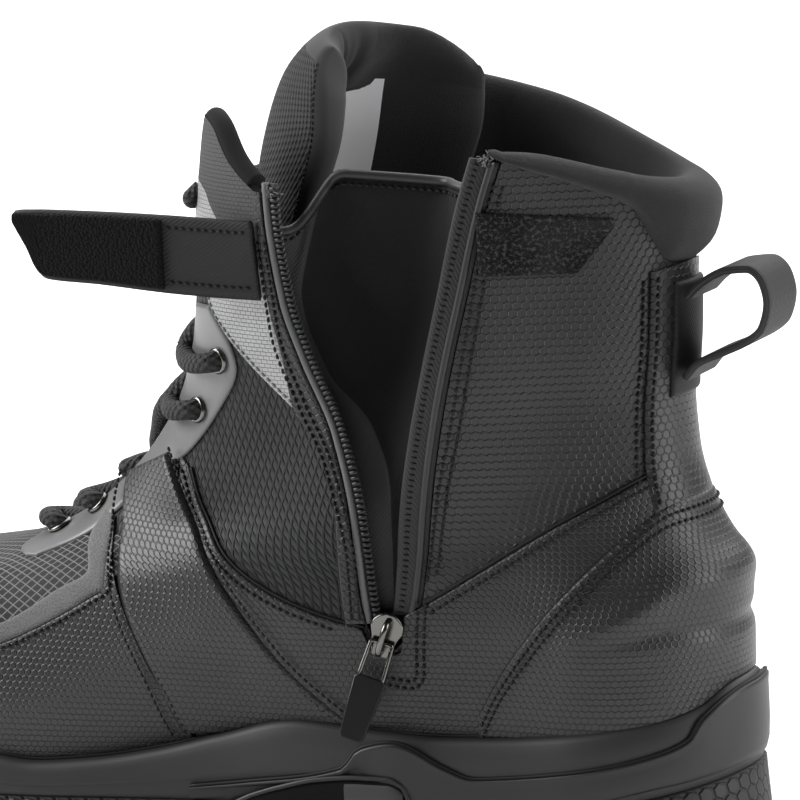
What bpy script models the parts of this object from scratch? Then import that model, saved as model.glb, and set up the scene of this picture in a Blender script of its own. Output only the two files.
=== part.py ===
"""Right-foot side-zip boot standing with its zip open, one object for each piece a maker would cut or mould.

Lengths are millimetres until solid() turns them into metres. A station is the distance from the back of
the sole towards the toe, so x = HEEL_REST - station. The zip side faces -y and z is up from the floor.
"""

import math

import bmesh
import bpy
import numpy as np

MM = 0.001
HEEL_REST = 42.0
WALL = 2.2
SEAT = 0.6
OVERLAY = 1.5
SLIT_FOOT = 56.0
THROAT_FOOT = 0.469
WEBBING_WIDTH = 22.0
WEBBING_THICK = 2.0
STRAP_THICK = 2.0
LACE_RADIUS = 2.5
GUSSET_SAG = 120.0
GUSSET_DEEPEST = 17.0
SOLE_OUT = 4.2

# The last, one row for each section from the sole's edge up to the collar line. A section runs from a back
# point to a front point, each a station and a height. Half widths are given at the heel, waist and ball for
# the inner (zip) side and the outer side. The caps are the shares of its length rounded at heel and toe; dip
# lowers the ball, bow lifts the middle.
# level back  z    front  z    in_h  in_w  in_b  out_h out_w out_b heel  toe  dip  bow
LAST = np.array([
    (0.0, 8.0, 27.0, 299.0, 25.0, 31.0, 33.0, 45.0, 31.0, 35.0, 47.0, 0.13, 0.26, 12.0, 0.0),
    (0.1, 5.0, 44.0, 303.0, 38.0, 34.0, 40.0, 49.0, 34.0, 39.0, 50.0, 0.13, 0.26, 7.0, 0.0),
    (0.2, 5.0, 62.0, 294.0, 55.0, 34.5, 43.5, 44.0, 34.5, 40.0, 44.0, 0.13, 0.32, 2.0, 0.0),
    (0.3, 7.5, 78.0, 268.0, 66.0, 33.0, 44.0, 40.0, 33.0, 40.0, 40.0, 0.16, 0.42, 0.0, 0.0),
    (0.4, 14.5, 94.0, 232.0, 71.5, 31.0, 43.5, 39.0, 31.0, 40.0, 38.0, 0.20, 0.46, 0.0, 0.0),
    (0.5, 18.5, 109.0, 203.0, 81.0, 30.5, 43.0, 37.0, 30.5, 39.5, 35.0, 0.24, 0.48, 0.0, 0.0),
    (0.6, 19.5, 124.0, 180.0, 100.5, 30.5, 42.5, 38.0, 30.5, 39.0, 33.0, 0.28, 0.48, 0.0, 0.0),
    (0.7, 18.5, 140.0, 165.0, 125.0, 31.0, 42.0, 42.0, 31.0, 38.5, 33.0, 0.30, 0.46, 0.0, 0.0),
    (0.8, 18.0, 156.0, 159.0, 150.0, 31.5, 41.5, 47.0, 31.5, 38.5, 34.0, 0.32, 0.42, 0.0, 0.0),
    (0.9, 17.0, 170.0, 156.0, 176.0, 32.0, 41.5, 51.0, 32.0, 39.0, 36.0, 0.33, 0.40, 0.0, 0.0),
    (1.0, 16.0, 181.0, 152.0, 200.0, 33.0, 42.0, 52.0, 33.0, 40.0, 37.0, 0.34, 0.40, 0.0, 5.0),
])
WIDTH_SHARES = (0.0, 0.15, 0.42, 0.72, 1.0)
TOE_SWING = 7.0
OUTER_BOW = 2.2

# Half width of the throat, by level, on the inner and the outer side.
THROAT = np.array([
    (0.469, 0.0, 0.0),
    (0.485, 6.0, 6.0),
    (0.51, 9.5, 9.5),
    (0.56, 13.0, 13.0),
    (0.62, 17.0, 15.0),
    (0.70, 21.0, 17.0),
    (0.80, 26.0, 20.0),
    (0.90, 29.0, 22.0),
    (1.0, 31.0, 24.0),
])

# The open zip: by height, the stations of the front and the rear tape's free edge, and the tapes' widths.
ZIP = np.array([
    (56.0, 91.5, 90.5, 0.2, 0.2),
    (61.0, 92.5, 89.5, 2.5, 3.5),
    (72.0, 93.6, 87.2, 4.0, 6.5),
    (94.0, 95.2, 84.5, 4.0, 7.0),
    (116.0, 100.6, 80.5, 4.0, 7.0),
    (136.0, 108.5, 76.0, 4.0, 7.0),
    (153.0, 112.5, 71.8, 4.0, 7.0),
    (176.0, 114.0, 66.0, 4.0, 7.0),
    (200.0, 115.0, 58.0, 4.0, 7.0),
])

# Where the wall ends under the padded collar, by distance around from the back (0) to the front (1).
COLLAR_SEAM = np.array([
    (0.0, 0.82), (0.08, 0.83), (0.12, 0.87), (0.17, 0.94), (0.22, 0.963), (0.3, 0.97), (1.0, 0.97)])
# Top of the narrow front strip, from its zip edge (0) to its throat edge (1).
STRIP_TOP = np.array([(0.0, 0.925), (0.35, 0.955), (0.7, 0.99), (1.0, 1.0)])

# The sole's side by station: top of its rim, joint of midsole and outsole, tread.
SOLE = np.array([
    (0.0, 48.5, 24.0, 4.0),
    (5.0, 48.5, 23.5, 1.0),
    (12.0, 43.0, 22.0, 0.0),
    (21.0, 40.0, 20.0, 0.0),
    (42.0, 36.4, 16.0, 0.0),
    (60.0, 34.5, 14.0, 0.0),
    (82.0, 33.5, 13.0, 3.0),
    (96.0, 34.5, 13.0, 8.0),
    (118.0, 36.5, 13.0, 9.0),
    (142.0, 30.6, 11.5, 6.0),
    (160.0, 25.0, 10.5, 0.0),
    (196.0, 18.0, 9.0, 0.0),
    (235.0, 20.0, 9.0, 0.0),
    (270.0, 27.0, 13.5, 3.5),
    (304.0, 40.0, 25.0, 13.0),
])

# Grooves of the tread, by station, each swept forward or back on its way out from the middle spine.
HEEL_GROOVES = (22.0, 36.0, 50.0, 64.0)
BALL_GROOVES = (168.0, 184.0, 200.0, 216.0, 232.0, 248.0, 263.0)
HEEL_SWEEP = 6.0
BALL_SWEEP = -8.0
GROOVE_WIDTH = 4.4
GROOVE_DEPTH = 4.0
GROOVE_REACH = 65.0
SPINE_HALF = 5.0

# The moulded clip that wraps the heel and rises to a point at the arch: station, lower edge, upper edge.
CLIP = np.array([
    (0.0, 26.0, 47.0),
    (5.0, 25.5, 47.0),
    (12.5, 24.0, 40.5),
    (15.0, 23.5, 35.0),
    (21.0, 22.5, 31.8),
    (37.0, 18.5, 27.6),
    (59.0, 15.5, 24.2),
    (68.0, 14.8, 23.5),
    (76.0, 14.5, 26.1),
    (90.0, 14.5, 32.3),
    (100.0, 14.5, 30.1),
    (105.0, 14.5, 24.4),
    (132.0, 13.5, 19.0),
    (150.0, 13.0, 16.5),
])

# The heel counter's upper edge and the toe guard's upper edge, by station.
COUNTER_TOP = np.array([(13.0, 97.5), (19.0, 96.4), (28.0, 88.6), (41.0, 75.5), (59.0, 53.4), (68.0, 40.0)])
TOE_GUARD_TOP = np.array([
    (168.0, 70.0), (178.0, 76.0), (190.0, 66.0), (212.0, 54.0), (240.0, 50.0), (275.0, 54.0), (304.0, 54.0)])

# The loop patch beside the zip: station, lower edge, upper edge.
LOOP_PATCH = np.array([(30.0, 167.5, 172.5), (39.0, 158.6, 173.5), (61.5, 159.0, 175.5)])

# The saddle strap from the eyestay down to the sole: its front and its rear edge, each a station and a height.
SADDLE = np.array([
    (176.0, 96.5, 160.0, 105.0),
    (174.0, 84.0, 148.0, 88.0),
    (167.0, 66.0, 134.0, 70.0),
    (157.0, 48.0, 118.0, 51.0),
    (153.0, 35.0, 106.0, 42.0),
])

# The tongue, a row for each section from the throat up: front station and height, then for the inner and
# outer edge its half width and how far it runs back, then how far the edges drop.
TONGUE = np.array([
    (213.0, 72.0, 7.0, 1.0, 7.0, 1.0, 3.0),
    (203.0, 76.0, 10.0, 2.0, 10.0, 2.0, 3.0),
    (190.0, 87.0, 14.0, 4.0, 14.0, 4.0, 4.0),
    (173.0, 102.0, 17.0, 8.0, 17.0, 8.0, 5.0),
    (158.0, 122.0, 19.0, 12.0, 19.0, 12.0, 5.0),
    (149.0, 143.0, 21.0, 16.0, 21.0, 16.0, 4.0),
    (144.0, 166.0, 23.0, 22.0, 25.0, 28.0, 2.0),
    (139.0, 190.0, 25.0, 26.0, 30.0, 40.0, 2.0),
    (132.0, 209.0, 24.0, 20.0, 34.0, 42.0, 5.0),
    (119.0, 220.0, 18.0, 8.0, 33.0, 27.0, 8.0),
])
TONGUE_THICK = 7.0
# The size label sewn inside the tongue, as shares of the tongue's rise and half width.
LABEL_RISE = (0.70, 0.89)
LABEL_ACROSS = (0.48, 0.72)
LABEL_THICK = 0.5

# The webbing loop at the heel, from its upper to its lower anchor, each a station and a height.
PULL_LOOP = np.array([
    (14.6, 152.0), (11.0, 155.5), (3.0, 159.5), (-4.0, 160.0), (-9.0, 156.5), (-11.0, 149.0),
    (-9.0, 141.0), (-4.0, 136.5), (4.0, 133.0), (12.0, 130.0), (15.6, 126.0),
])

# The hook strap swung forward, from its root to its tip: station, y of its upper edge, height of its lower
# and upper edge, and how much nearer the boot its lower edge lies.
STRAP = np.array([
    (121.0, -48.5, 152.6, 172.8, 2.9),
    (128.0, -49.2, 152.8, 173.0, 2.6),
    (145.0, -51.0, 153.6, 174.0, 1.6),
    (164.0, -53.0, 155.5, 174.9, 0.6),
    (179.5, -54.5, 157.0, 175.4, 0.0),
    (188.0, -55.5, 166.7, 175.2, 0.0),
])
STRAP_ROWS = 13
PILE_ROWS = (4, 12)
PILE_THICK = 1.6
PILE_INSET = 1.2

# The eyestay beside the throat: level, then the distance around of its throat edge and of its rear edge.
EYESTAY = np.array([
    (0.43, 0.845, 0.80),
    (0.47, 0.905, 0.82),
    (0.50, 0.925, 0.825),
    (0.53, 0.90, 0.82),
    (0.57, 0.88, 0.80),
    (0.61, 0.86, 0.765),
    (0.665, 0.845, 0.73),
    (0.725, 0.83, 0.70),
    (0.75, 0.82, 0.705),
])
# Its eyelets from the toe up, by level and distance around.
EYELETS = ((0.482, 0.874), (0.532, 0.866), (0.665, 0.768), (0.726, 0.745))

# Levels of the lace's bars, from throat edge to throat edge, and their middle line's height off the skin.
LACE_LEVELS = (0.505, 0.558, 0.608, 0.66, 0.715, 0.77, 0.85, 0.915)
LACE_LIFT = 4.2
LACE_BOW = 2.0
LACE_SIDES = 6
EYELET_SIDES = 8
# Section of an eyelet's rim: radius and height.
EYELET_RING = ((3.7, 0.0), (3.2, 0.9), (2.2, 0.9), (2.2, 0.0))

# The zip's slider stands at the foot of the opening. Outlines are pairs of side and up from its middle.
SLIDER_STATION = 91.0
SLIDER_HEIGHT = 62.0
SLIDER_LIFT = 0.8
SLIDER_PLATE = (
    (-2.2, -6.0), (2.2, -6.0), (3.4, -1.0), (4.6, 2.0), (3.2, 5.0),
    (1.2, 6.5), (-1.2, 6.5), (-3.2, 5.0), (-4.6, 2.0), (-3.4, -1.0),
)
SLIDER_PLATE_THICK = 1.6
BRIDGE_HALF_WIDTH = 1.2
BRIDGE_FOOT = (-4.6, -3.2)
BRIDGE_HEAD = (3.2, 4.8)
BRIDGE_UNDER = 4.2
BRIDGE_TOP = 5.4
# The pull hangs from its bar under the bridge: a plate with a frame above it.
PULL_TILT = 14.0
PULL_DROP = 1.8
PULL_OUT = 2.9
PULL_HALF_THICK = 0.8
PULL_OUTLINE = (
    (-4.6, -27.0), (4.6, -27.0), (4.6, -9.8), (3.6, -9.0), (3.6, 0.9), (2.3, 0.9),
    (2.3, -7.4), (-2.3, -7.4), (-2.3, 0.9), (-3.6, 0.9), (-3.6, -9.0), (-4.6, -9.8),
)
PULL_BAR_HALF = (2.9, 0.6)


def smooth(knots, values, at):
    """Curve through the knots that never overshoots: cubic pieces, with the mean slope where both sides agree."""
    knots = np.asarray(knots, float)
    values = np.asarray(values, float).reshape(len(knots), -1)
    at = np.clip(np.asarray(at, float), knots[0], knots[-1])
    step = np.diff(knots)[:, None]
    rise = np.diff(values, axis=0) / step
    slope = np.zeros_like(values)
    both = rise[:-1] * rise[1:]
    slope[1:-1] = np.where(both > 0, 2 * both / np.where(both > 0, rise[:-1] + rise[1:], 1), 0)
    slope[0], slope[-1] = rise[0], rise[-1]
    flat = at.ravel()
    i = np.clip(np.searchsorted(knots, flat, "right") - 1, 0, len(knots) - 2)
    h = step[i]
    s = ((flat - knots[i])[:, None]) / h
    out = (
        values[i] * (1 + 2 * s) * (1 - s) ** 2
        + slope[i] * h * s * (1 - s) ** 2
        + values[i + 1] * s**2 * (3 - 2 * s)
        + slope[i + 1] * h * s**2 * (s - 1)
    )
    return out.reshape(at.shape + (-1,))


def by(table, at, column=1):
    """One column of a table as a smooth function of its first column."""
    return smooth(table[:, 0], table[:, column], at)[..., 0]


def surface(around, level):
    """Outer skin of the boot. Around is 0 at the back, 1 at the front by the zip side, -1 by the outer side."""
    around, level = np.broadcast_arrays(np.asarray(around, float), np.asarray(level, float))
    around = (around + 1) % 2 - 1
    row = smooth(LAST[:, 0], LAST[:, 1:], level)
    back, back_z, front, front_z = (row[..., k] for k in range(4))
    heel_cap, toe_cap, dip, bow = (row[..., k] for k in range(10, 14))
    share = (1 - np.cos(np.pi * np.abs(around))) / 2
    inner = np.where(around[..., None] >= 0, row[..., 4:7], row[..., 7:10])
    columns = np.stack([inner[..., 0], inner[..., 0], inner[..., 1], inner[..., 2], inner[..., 2]], -1)
    half = blend_columns(columns, share)
    heel = np.clip(1 - share / heel_cap, 0, 1)
    toe = np.clip((share - 1 + toe_cap) / toe_cap, 0, 1)
    half = half * np.sqrt(np.maximum(1 - heel**2, 0)) * np.maximum(1 - toe**2.1, 0) ** (1 / 2.1)
    station = back + share * (front - back)
    height = back_z + share * (front_z - back_z)
    bow = bow * np.where(around < 0, OUTER_BOW, 1.0)
    height = height - dip * np.exp(-(((share - 0.68) / 0.17) ** 2)) + bow * np.sin(np.pi * share)
    swing = TOE_SWING * np.clip((station - 150) / 150, 0, 1) ** 2
    return np.stack([HEEL_REST - station, -np.sign(around) * half - swing, height], -1)


def blend_columns(columns, share):
    """Half width along a section: eased from each given width to the next."""
    total = columns[..., 0]
    for k in range(1, len(WIDTH_SHARES)):
        s = np.clip((share - WIDTH_SHARES[k - 1]) / (WIDTH_SHARES[k] - WIDTH_SHARES[k - 1]), 0, 1)
        total = total + (columns[..., k] - columns[..., k - 1]) * s * s * (3 - 2 * s)
    return total


def skin(around, level, lift):
    """The outer skin moved along its normal by lift."""
    d = 1e-3
    level = np.asarray(level, float)
    low, high = np.clip(level - d, 0, 1), np.clip(level + d, 0, 1)
    up = surface(around, high) - surface(around, low)
    along = surface(np.asarray(around) + d, level) - surface(np.asarray(around) - d, level)
    normal = np.cross(up, along)
    normal /= np.linalg.norm(normal, axis=-1, keepdims=True)
    return surface(around, level) + np.asarray(lift)[..., None] * normal


def bisect(wrong, low, high):
    """Where a rising function of one number crosses zero, for whole arrays at once."""
    for _ in range(40):
        middle = (low + high) / 2
        over = wrong(middle) > 0
        low, high = np.where(over, low, middle), np.where(over, middle, high)
    return (low + high) / 2


def around_at(station, level, side=1):
    """Distance around, on one side, at which a section passes a station."""
    station, level = np.broadcast_arrays(np.asarray(station, float), np.asarray(level, float))
    row = smooth(LAST[:, 0], LAST[:, (1, 3)], level)
    share = np.clip((station - row[..., 0]) / (row[..., 1] - row[..., 0]), 0, 1)
    return side * np.arccos(1 - 2 * share) / np.pi


def level_at(station, height):
    """Level of the skin at a station and height seen from the side."""
    station, height = np.broadcast_arrays(np.asarray(station, float), np.asarray(height, float))

    def wrong(level):
        return surface(around_at(station, level), level)[..., 2] - height

    return bisect(wrong, np.zeros(station.shape), np.ones(station.shape))


def on_side(station, height, side=1):
    """Around and level of a point given by its station and height."""
    level = level_at(station, height)
    return around_at(station, level, side), level


def level_of_line(around, table, column=1, shift=0.0):
    """Level at which the skin, going up at this distance around, meets a line given by station and height."""
    around = np.asarray(around, float)

    def wrong(level):
        point = surface(around, level)
        return point[..., 2] - by(table, HEEL_REST - point[..., 0], column) - shift

    return bisect(wrong, np.zeros(around.shape), np.ones(around.shape))


def zip_around(level, column, inset):
    """Distance around of a zip edge at each level: the tape's free edge moved by a share of the tape's width."""
    level = np.asarray(level, float)
    station = np.full(level.shape, 90.0)
    for _ in range(25):
        height = surface(around_at(station, level), level)[..., 2]
        width = by(ZIP, height, column + 2)
        station = by(ZIP, height, column) + inset * width
    return around_at(station, level)


def throat_around(level, side):
    """Distance around of the throat's edge, where the skin's half width comes down to the throat's."""
    level = np.asarray(level, float)
    gap = by(THROAT, level, 1 if side > 0 else 2)

    def wrong(around):
        point = surface(side * around, level)
        swing = TOE_SWING * np.clip((HEEL_REST - point[..., 0] - 150) / 150, 0, 1) ** 2
        return gap - np.abs(point[..., 1] + swing)

    return side * bisect(wrong, np.full(level.shape, 0.5), np.ones(level.shape))


def material(name, colour, roughness, metallic=0.0):
    made = bpy.data.materials.get(name)
    if made is None:
        made = bpy.data.materials.new(name)
        made.use_nodes = True
        shader = made.node_tree.nodes["Principled BSDF"]
        shader.inputs["Base Color"].default_value = (*colour, 1)
        shader.inputs["Roughness"].default_value = roughness
        shader.inputs["Metallic"].default_value = metallic
    return made


def solid(name, points, faces, look):
    """One closed object from points in millimetres and faces, with coincident points joined."""
    _, first, index = np.unique(np.round(points, 3), axis=0, return_index=True, return_inverse=True)
    index = index.reshape(-1)
    mesh = bpy.data.meshes.new(name)
    kept = []
    for face in faces:
        corners = list(dict.fromkeys(int(index[i]) for i in face))
        if len(corners) > 2:
            kept.append(corners)
    mesh.from_pydata((points[first] * MM).tolist(), [], kept)
    work = bmesh.new()
    work.from_mesh(mesh)
    bmesh.ops.recalc_face_normals(work, faces=work.faces)
    work.to_mesh(mesh)
    work.free()
    mesh.materials.append(material(*look))
    made = bpy.data.objects.new(name, mesh)
    bpy.context.collection.objects.link(made)
    return made


def grid_faces(rows, columns, start=0, wrap=False):
    """Quads of a grid numbered row by row."""
    return [
        (
            start + r * columns + c,
            start + r * columns + (c + 1) % columns,
            start + (r + 1) * columns + (c + 1) % columns,
            start + (r + 1) * columns + c,
        )
        for r in range(rows - 1)
        for c in range(columns if wrap else columns - 1)
    ]


def thick(name, outer, inner, faces, look):
    """A sheet given thickness: its two sides and a strip along every free edge."""
    _, index = np.unique(np.round(outer, 3), axis=0, return_inverse=True)
    index = index.reshape(-1)
    count = len(outer)
    edges = {}
    for face in faces:
        for a, b in zip(face, face[1:] + face[:1]):
            if index[a] != index[b]:
                edges.setdefault(frozenset((int(index[a]), int(index[b]))), []).append((a, b))
    rim = [(a, b, b + count, a + count) for uses in edges.values() if len(uses) == 1 for a, b in uses]
    back = [tuple(i + count for i in reversed(face)) for face in faces]
    return solid(name, np.concatenate([outer, inner]), faces + back + rim, look)


def patch(name, around, level, low, high, look):
    """A piece of the boot's skin between two lifts, from grids of around and level."""
    rows, columns = around.shape
    outer = skin(around, level, high + np.zeros(around.shape)).reshape(-1, 3)
    inner = skin(around, level, low + np.zeros(around.shape)).reshape(-1, 3)
    return thick(name, outer, inner, grid_faces(rows, columns), look)


def swept(name, path, across, up, profile, look):
    """A profile carried along a path: across and up are the profile's two directions at each point, caps are flat."""
    ring = path[:, None] + profile[None, :, :1] * across[:, None] + profile[None, :, 1:] * up[:, None]
    count = len(profile)
    faces = grid_faces(len(path), count, wrap=True)
    faces.append(tuple(range(count)))
    faces.append(tuple(range((len(path) - 1) * count, len(path) * count)))
    return solid(name, ring.reshape(-1, 3), faces, look)


def rounded(count, radius):
    angle = np.arange(count) * 2 * np.pi / count
    return radius * np.stack([np.cos(angle), np.sin(angle)], -1)


LEATHER = ("leather_black", (0.018, 0.018, 0.019), 0.55)
PADDING = ("padding_charcoal", (0.028, 0.028, 0.03), 0.85)
TEXTILE = ("textile_charcoal", (0.03, 0.03, 0.032), 0.8)
PLASTIC = ("plastic_grey", (0.06, 0.06, 0.065), 0.5)
FOAM = ("sole_foam", (0.03, 0.03, 0.031), 0.6)
RUBBER = ("rubber_black", (0.015, 0.015, 0.016), 0.7)
METAL = ("metal_gunmetal", (0.25, 0.25, 0.24), 0.3, 1.0)
CORD = ("cord_black", (0.02, 0.02, 0.021), 0.8)
LABEL = ("label_white", (0.75, 0.75, 0.76), 0.7)


def upper():
    """The lasted wall: one sheet split by the throat from the front and by the open zip on the inner side."""
    slit = float(level_at(SLIDER_STATION, SLIT_FOOT))
    levels = np.unique(np.concatenate([
        np.linspace(0, slit, 4), np.linspace(slit, THROAT_FOOT, 7), (0.485, 0.51), np.linspace(0.55, 1, 9)]))
    split = 0.62
    points, wall, faces = [], [], []
    for group in ("strip", "rest"):
        count = 12 if group == "strip" else 30
        share = np.linspace(0, 1, count)[None, :]
        rows = levels[:, None] * np.ones_like(share)
        above = np.clip((rows - split) / (1 - split), 0, 1)
        if group == "strip":
            rows = np.minimum(rows, split) + above * (by(STRIP_TOP, share * np.ones_like(rows)) - split)
            start = np.where(rows > slit + 1e-6, zip_around(rows, 1, 1.0), around_at(SLIDER_STATION, rows))
            stop = np.where(rows > THROAT_FOOT + 1e-6, throat_around(rows, 1), 1.0)
        else:
            start = np.where(rows > THROAT_FOOT + 1e-6, throat_around(rows, -1), -1.0)
            stop = np.where(rows > slit + 1e-6, zip_around(rows, 2, -1.0), around_at(SLIDER_STATION, rows))
            turn = start + share * (stop - start)
            rows = np.minimum(rows, split) + above * (by(COLLAR_SEAM, np.abs(turn)) - split)
            start = np.where(rows > THROAT_FOOT + 1e-6, throat_around(rows, -1), -1.0)
            stop = np.where(rows > slit + 1e-6, zip_around(rows, 2, -1.0), around_at(SLIDER_STATION, rows))
        turn = start + share * (stop - start)
        faces += grid_faces(len(levels), count, start=sum(len(p) for p in points))
        points.append(skin(turn, rows, np.zeros(turn.shape)).reshape(-1, 3))
        wall.append(skin(turn, rows, np.full(turn.shape, -WALL)).reshape(-1, 3))
    thick("upper", np.concatenate(points), np.concatenate(wall), faces, LEATHER)
    return turn[-1], rows[-1]


# Profile of the padded collar, from its outer seam over the top to its inner edge: share of the way up, then
# its lift off the skin where the collar is slim and where it is deep, and its rise above the skin's top.
COLLAR_ROLL = np.array([
    (0.0, 0.3, 0.3, 0.0),
    (0.25, 1.6, 4.0, 0.0),
    (0.6, 2.6, 6.8, 0.5),
    (0.9, 2.4, 6.4, 2.0),
    (1.0, 0.4, 2.4, 4.5),
    (1.0, -3.0, -2.4, 5.0),
    (0.9, -5.2, -6.4, 2.0),
    (0.4, -5.2, -7.2, 0.0),
    (0.0, -2.4, -3.4, 0.0),
])


def collar(turn, seam):
    """Padded roll on the rear and outer top edge, deep at the back and slim towards zip and throat."""
    seam = seam + 0.3 / (np.linalg.norm(surface(turn, seam) - surface(turn, seam - 0.02), axis=-1) / 0.02)
    deep = np.clip((0.97 - seam) / 0.15, 0, 1)
    up, slim, full, above = (column[None, :] for column in COLLAR_ROLL.T)
    level = seam[:, None] + up * (1 - seam[:, None])
    ring = skin(turn[:, None] * np.ones_like(up), level, slim + deep[:, None] * (full - slim))
    ring[..., 2] += above
    count = len(COLLAR_ROLL)
    faces = grid_faces(len(turn), count, wrap=True)
    faces.append(tuple(range(count)))
    faces.append(tuple(range((len(turn) - 1) * count, len(turn) * count)))
    solid("collar", ring.reshape(-1, 3), faces, PADDING)


def strip_padding():
    """Padding behind the top of the narrow front strip."""
    share = np.linspace(0, 1, 6)[None, :]
    top = by(STRIP_TOP, share)
    rows = 0.84 + np.linspace(0, 1, 6)[:, None] * (top - 0.004 - 0.84)
    start = zip_around(rows, 1, 1.0) + 0.04
    stop = throat_around(rows, 1)
    patch("strip_padding", start + share * (stop - start), rows, -WALL - 5.0, -WALL - SEAT, PADDING)


def tongue_sheet(share, across):
    """Outer face of the tongue and its normal, share 0 at the throat to 1 at the top, across -1 to 1."""
    row = smooth(np.linspace(0, 1, len(TONGUE)), TONGUE, share)

    def face(row, across):
        half = np.where(across < 0, row[..., 2], row[..., 4])
        run = np.where(across < 0, row[..., 3], row[..., 5])
        swing = TOE_SWING * np.clip((row[..., 0] - 150) / 150, 0, 1) ** 2
        x = HEEL_REST - row[..., 0] + run * np.abs(across) ** 2.2
        return np.stack([x, half * across - swing, row[..., 1] - row[..., 6] * across**2], -1)

    d = 1e-3
    ahead = smooth(np.linspace(0, 1, len(TONGUE)), TONGUE, np.clip(share + d, 0, 1))
    behind = smooth(np.linspace(0, 1, len(TONGUE)), TONGUE, np.clip(share - d, 0, 1))
    rise = face(ahead, across) - face(behind, across)
    normal = np.cross(rise, face(row, across + d) - face(row, across - d))
    normal /= np.linalg.norm(normal, axis=-1, keepdims=True)
    return face(row, across), normal


def tongue_depth(share, across):
    """Padding depth: thin at the throat, full at the top, rounded off along the edges."""
    edge = np.sqrt(np.clip(1 - across**6, 0.12, 1)) * np.sqrt(np.clip(1 - (2 * share - 1) ** 14, 0.12, 1))
    return TONGUE_THICK * edge * np.clip(0.45 + share * 1.2, 0, 1)


def tongue():
    share, across = np.meshgrid(np.linspace(0, 1, 14), np.linspace(-1, 1, 11), indexing="ij")
    outer, normal = tongue_sheet(share, across)
    inner = outer - normal * tongue_depth(share, across)[..., None]
    thick("tongue", outer.reshape(-1, 3), inner.reshape(-1, 3), grid_faces(*share.shape), PADDING)

    share, across = np.meshgrid(np.linspace(*LABEL_RISE, 5), np.linspace(*LABEL_ACROSS, 4), indexing="ij")
    outer, normal = tongue_sheet(share, across)
    near = outer - normal * (TONGUE_THICK + SEAT)
    far = near - normal * LABEL_THICK
    thick("size_label", near.reshape(-1, 3), far.reshape(-1, 3), grid_faces(*share.shape), LABEL)


def gusset():
    """Soft panel behind the open zip, let in under both edges and sagging inwards."""
    level = np.linspace(float(level_at(SLIDER_STATION, SLIT_FOOT + 8)), 0.925, 10)[:, None]
    share = np.linspace(0, 1, 9)[None, :]
    rear = zip_around(level, 2, -1.0) - 0.012
    front = zip_around(level, 1, 1.0) + 0.012
    turn = rear + share * (front - rear)
    rows = level * np.ones_like(share) - 0.035 * np.clip(share - 0.6, 0, 1) / 0.4 * (level > 0.9)
    slack = (front - rear - 0.05).clip(0) * (level - 0.1).clip(0, 0.6)
    sag = WALL + SEAT + GUSSET_SAG * slack * np.sin(np.pi * share) ** 1.5
    sag = sag.clip(WALL + SEAT, GUSSET_DEEPEST)
    outer = skin(turn, rows, -sag).reshape(-1, 3)
    inner = skin(turn, rows, -sag - 1.2).reshape(-1, 3)
    thick("zip_gusset", outer, inner, grid_faces(10, 9), TEXTILE)


def zip_tapes():
    level = np.linspace(float(level_at(SLIDER_STATION, SLIDER_HEIGHT + 8)), 0.96, 15)[:, None]
    share = np.linspace(0, 1, 3)[None, :]
    for name, column, sign, top in (("zip_tape_front", 1, 1.0, 0.925), ("zip_tape_rear", 2, -1.0, 0.96)):
        rows = level * top / 0.96 * np.ones_like(share)
        free = zip_around(rows, column, 0.0)
        sewn = zip_around(rows, column, sign * 0.93)
        patch(name, free + share * (sewn - free), rows, -1.8, -0.4, TEXTILE)


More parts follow.
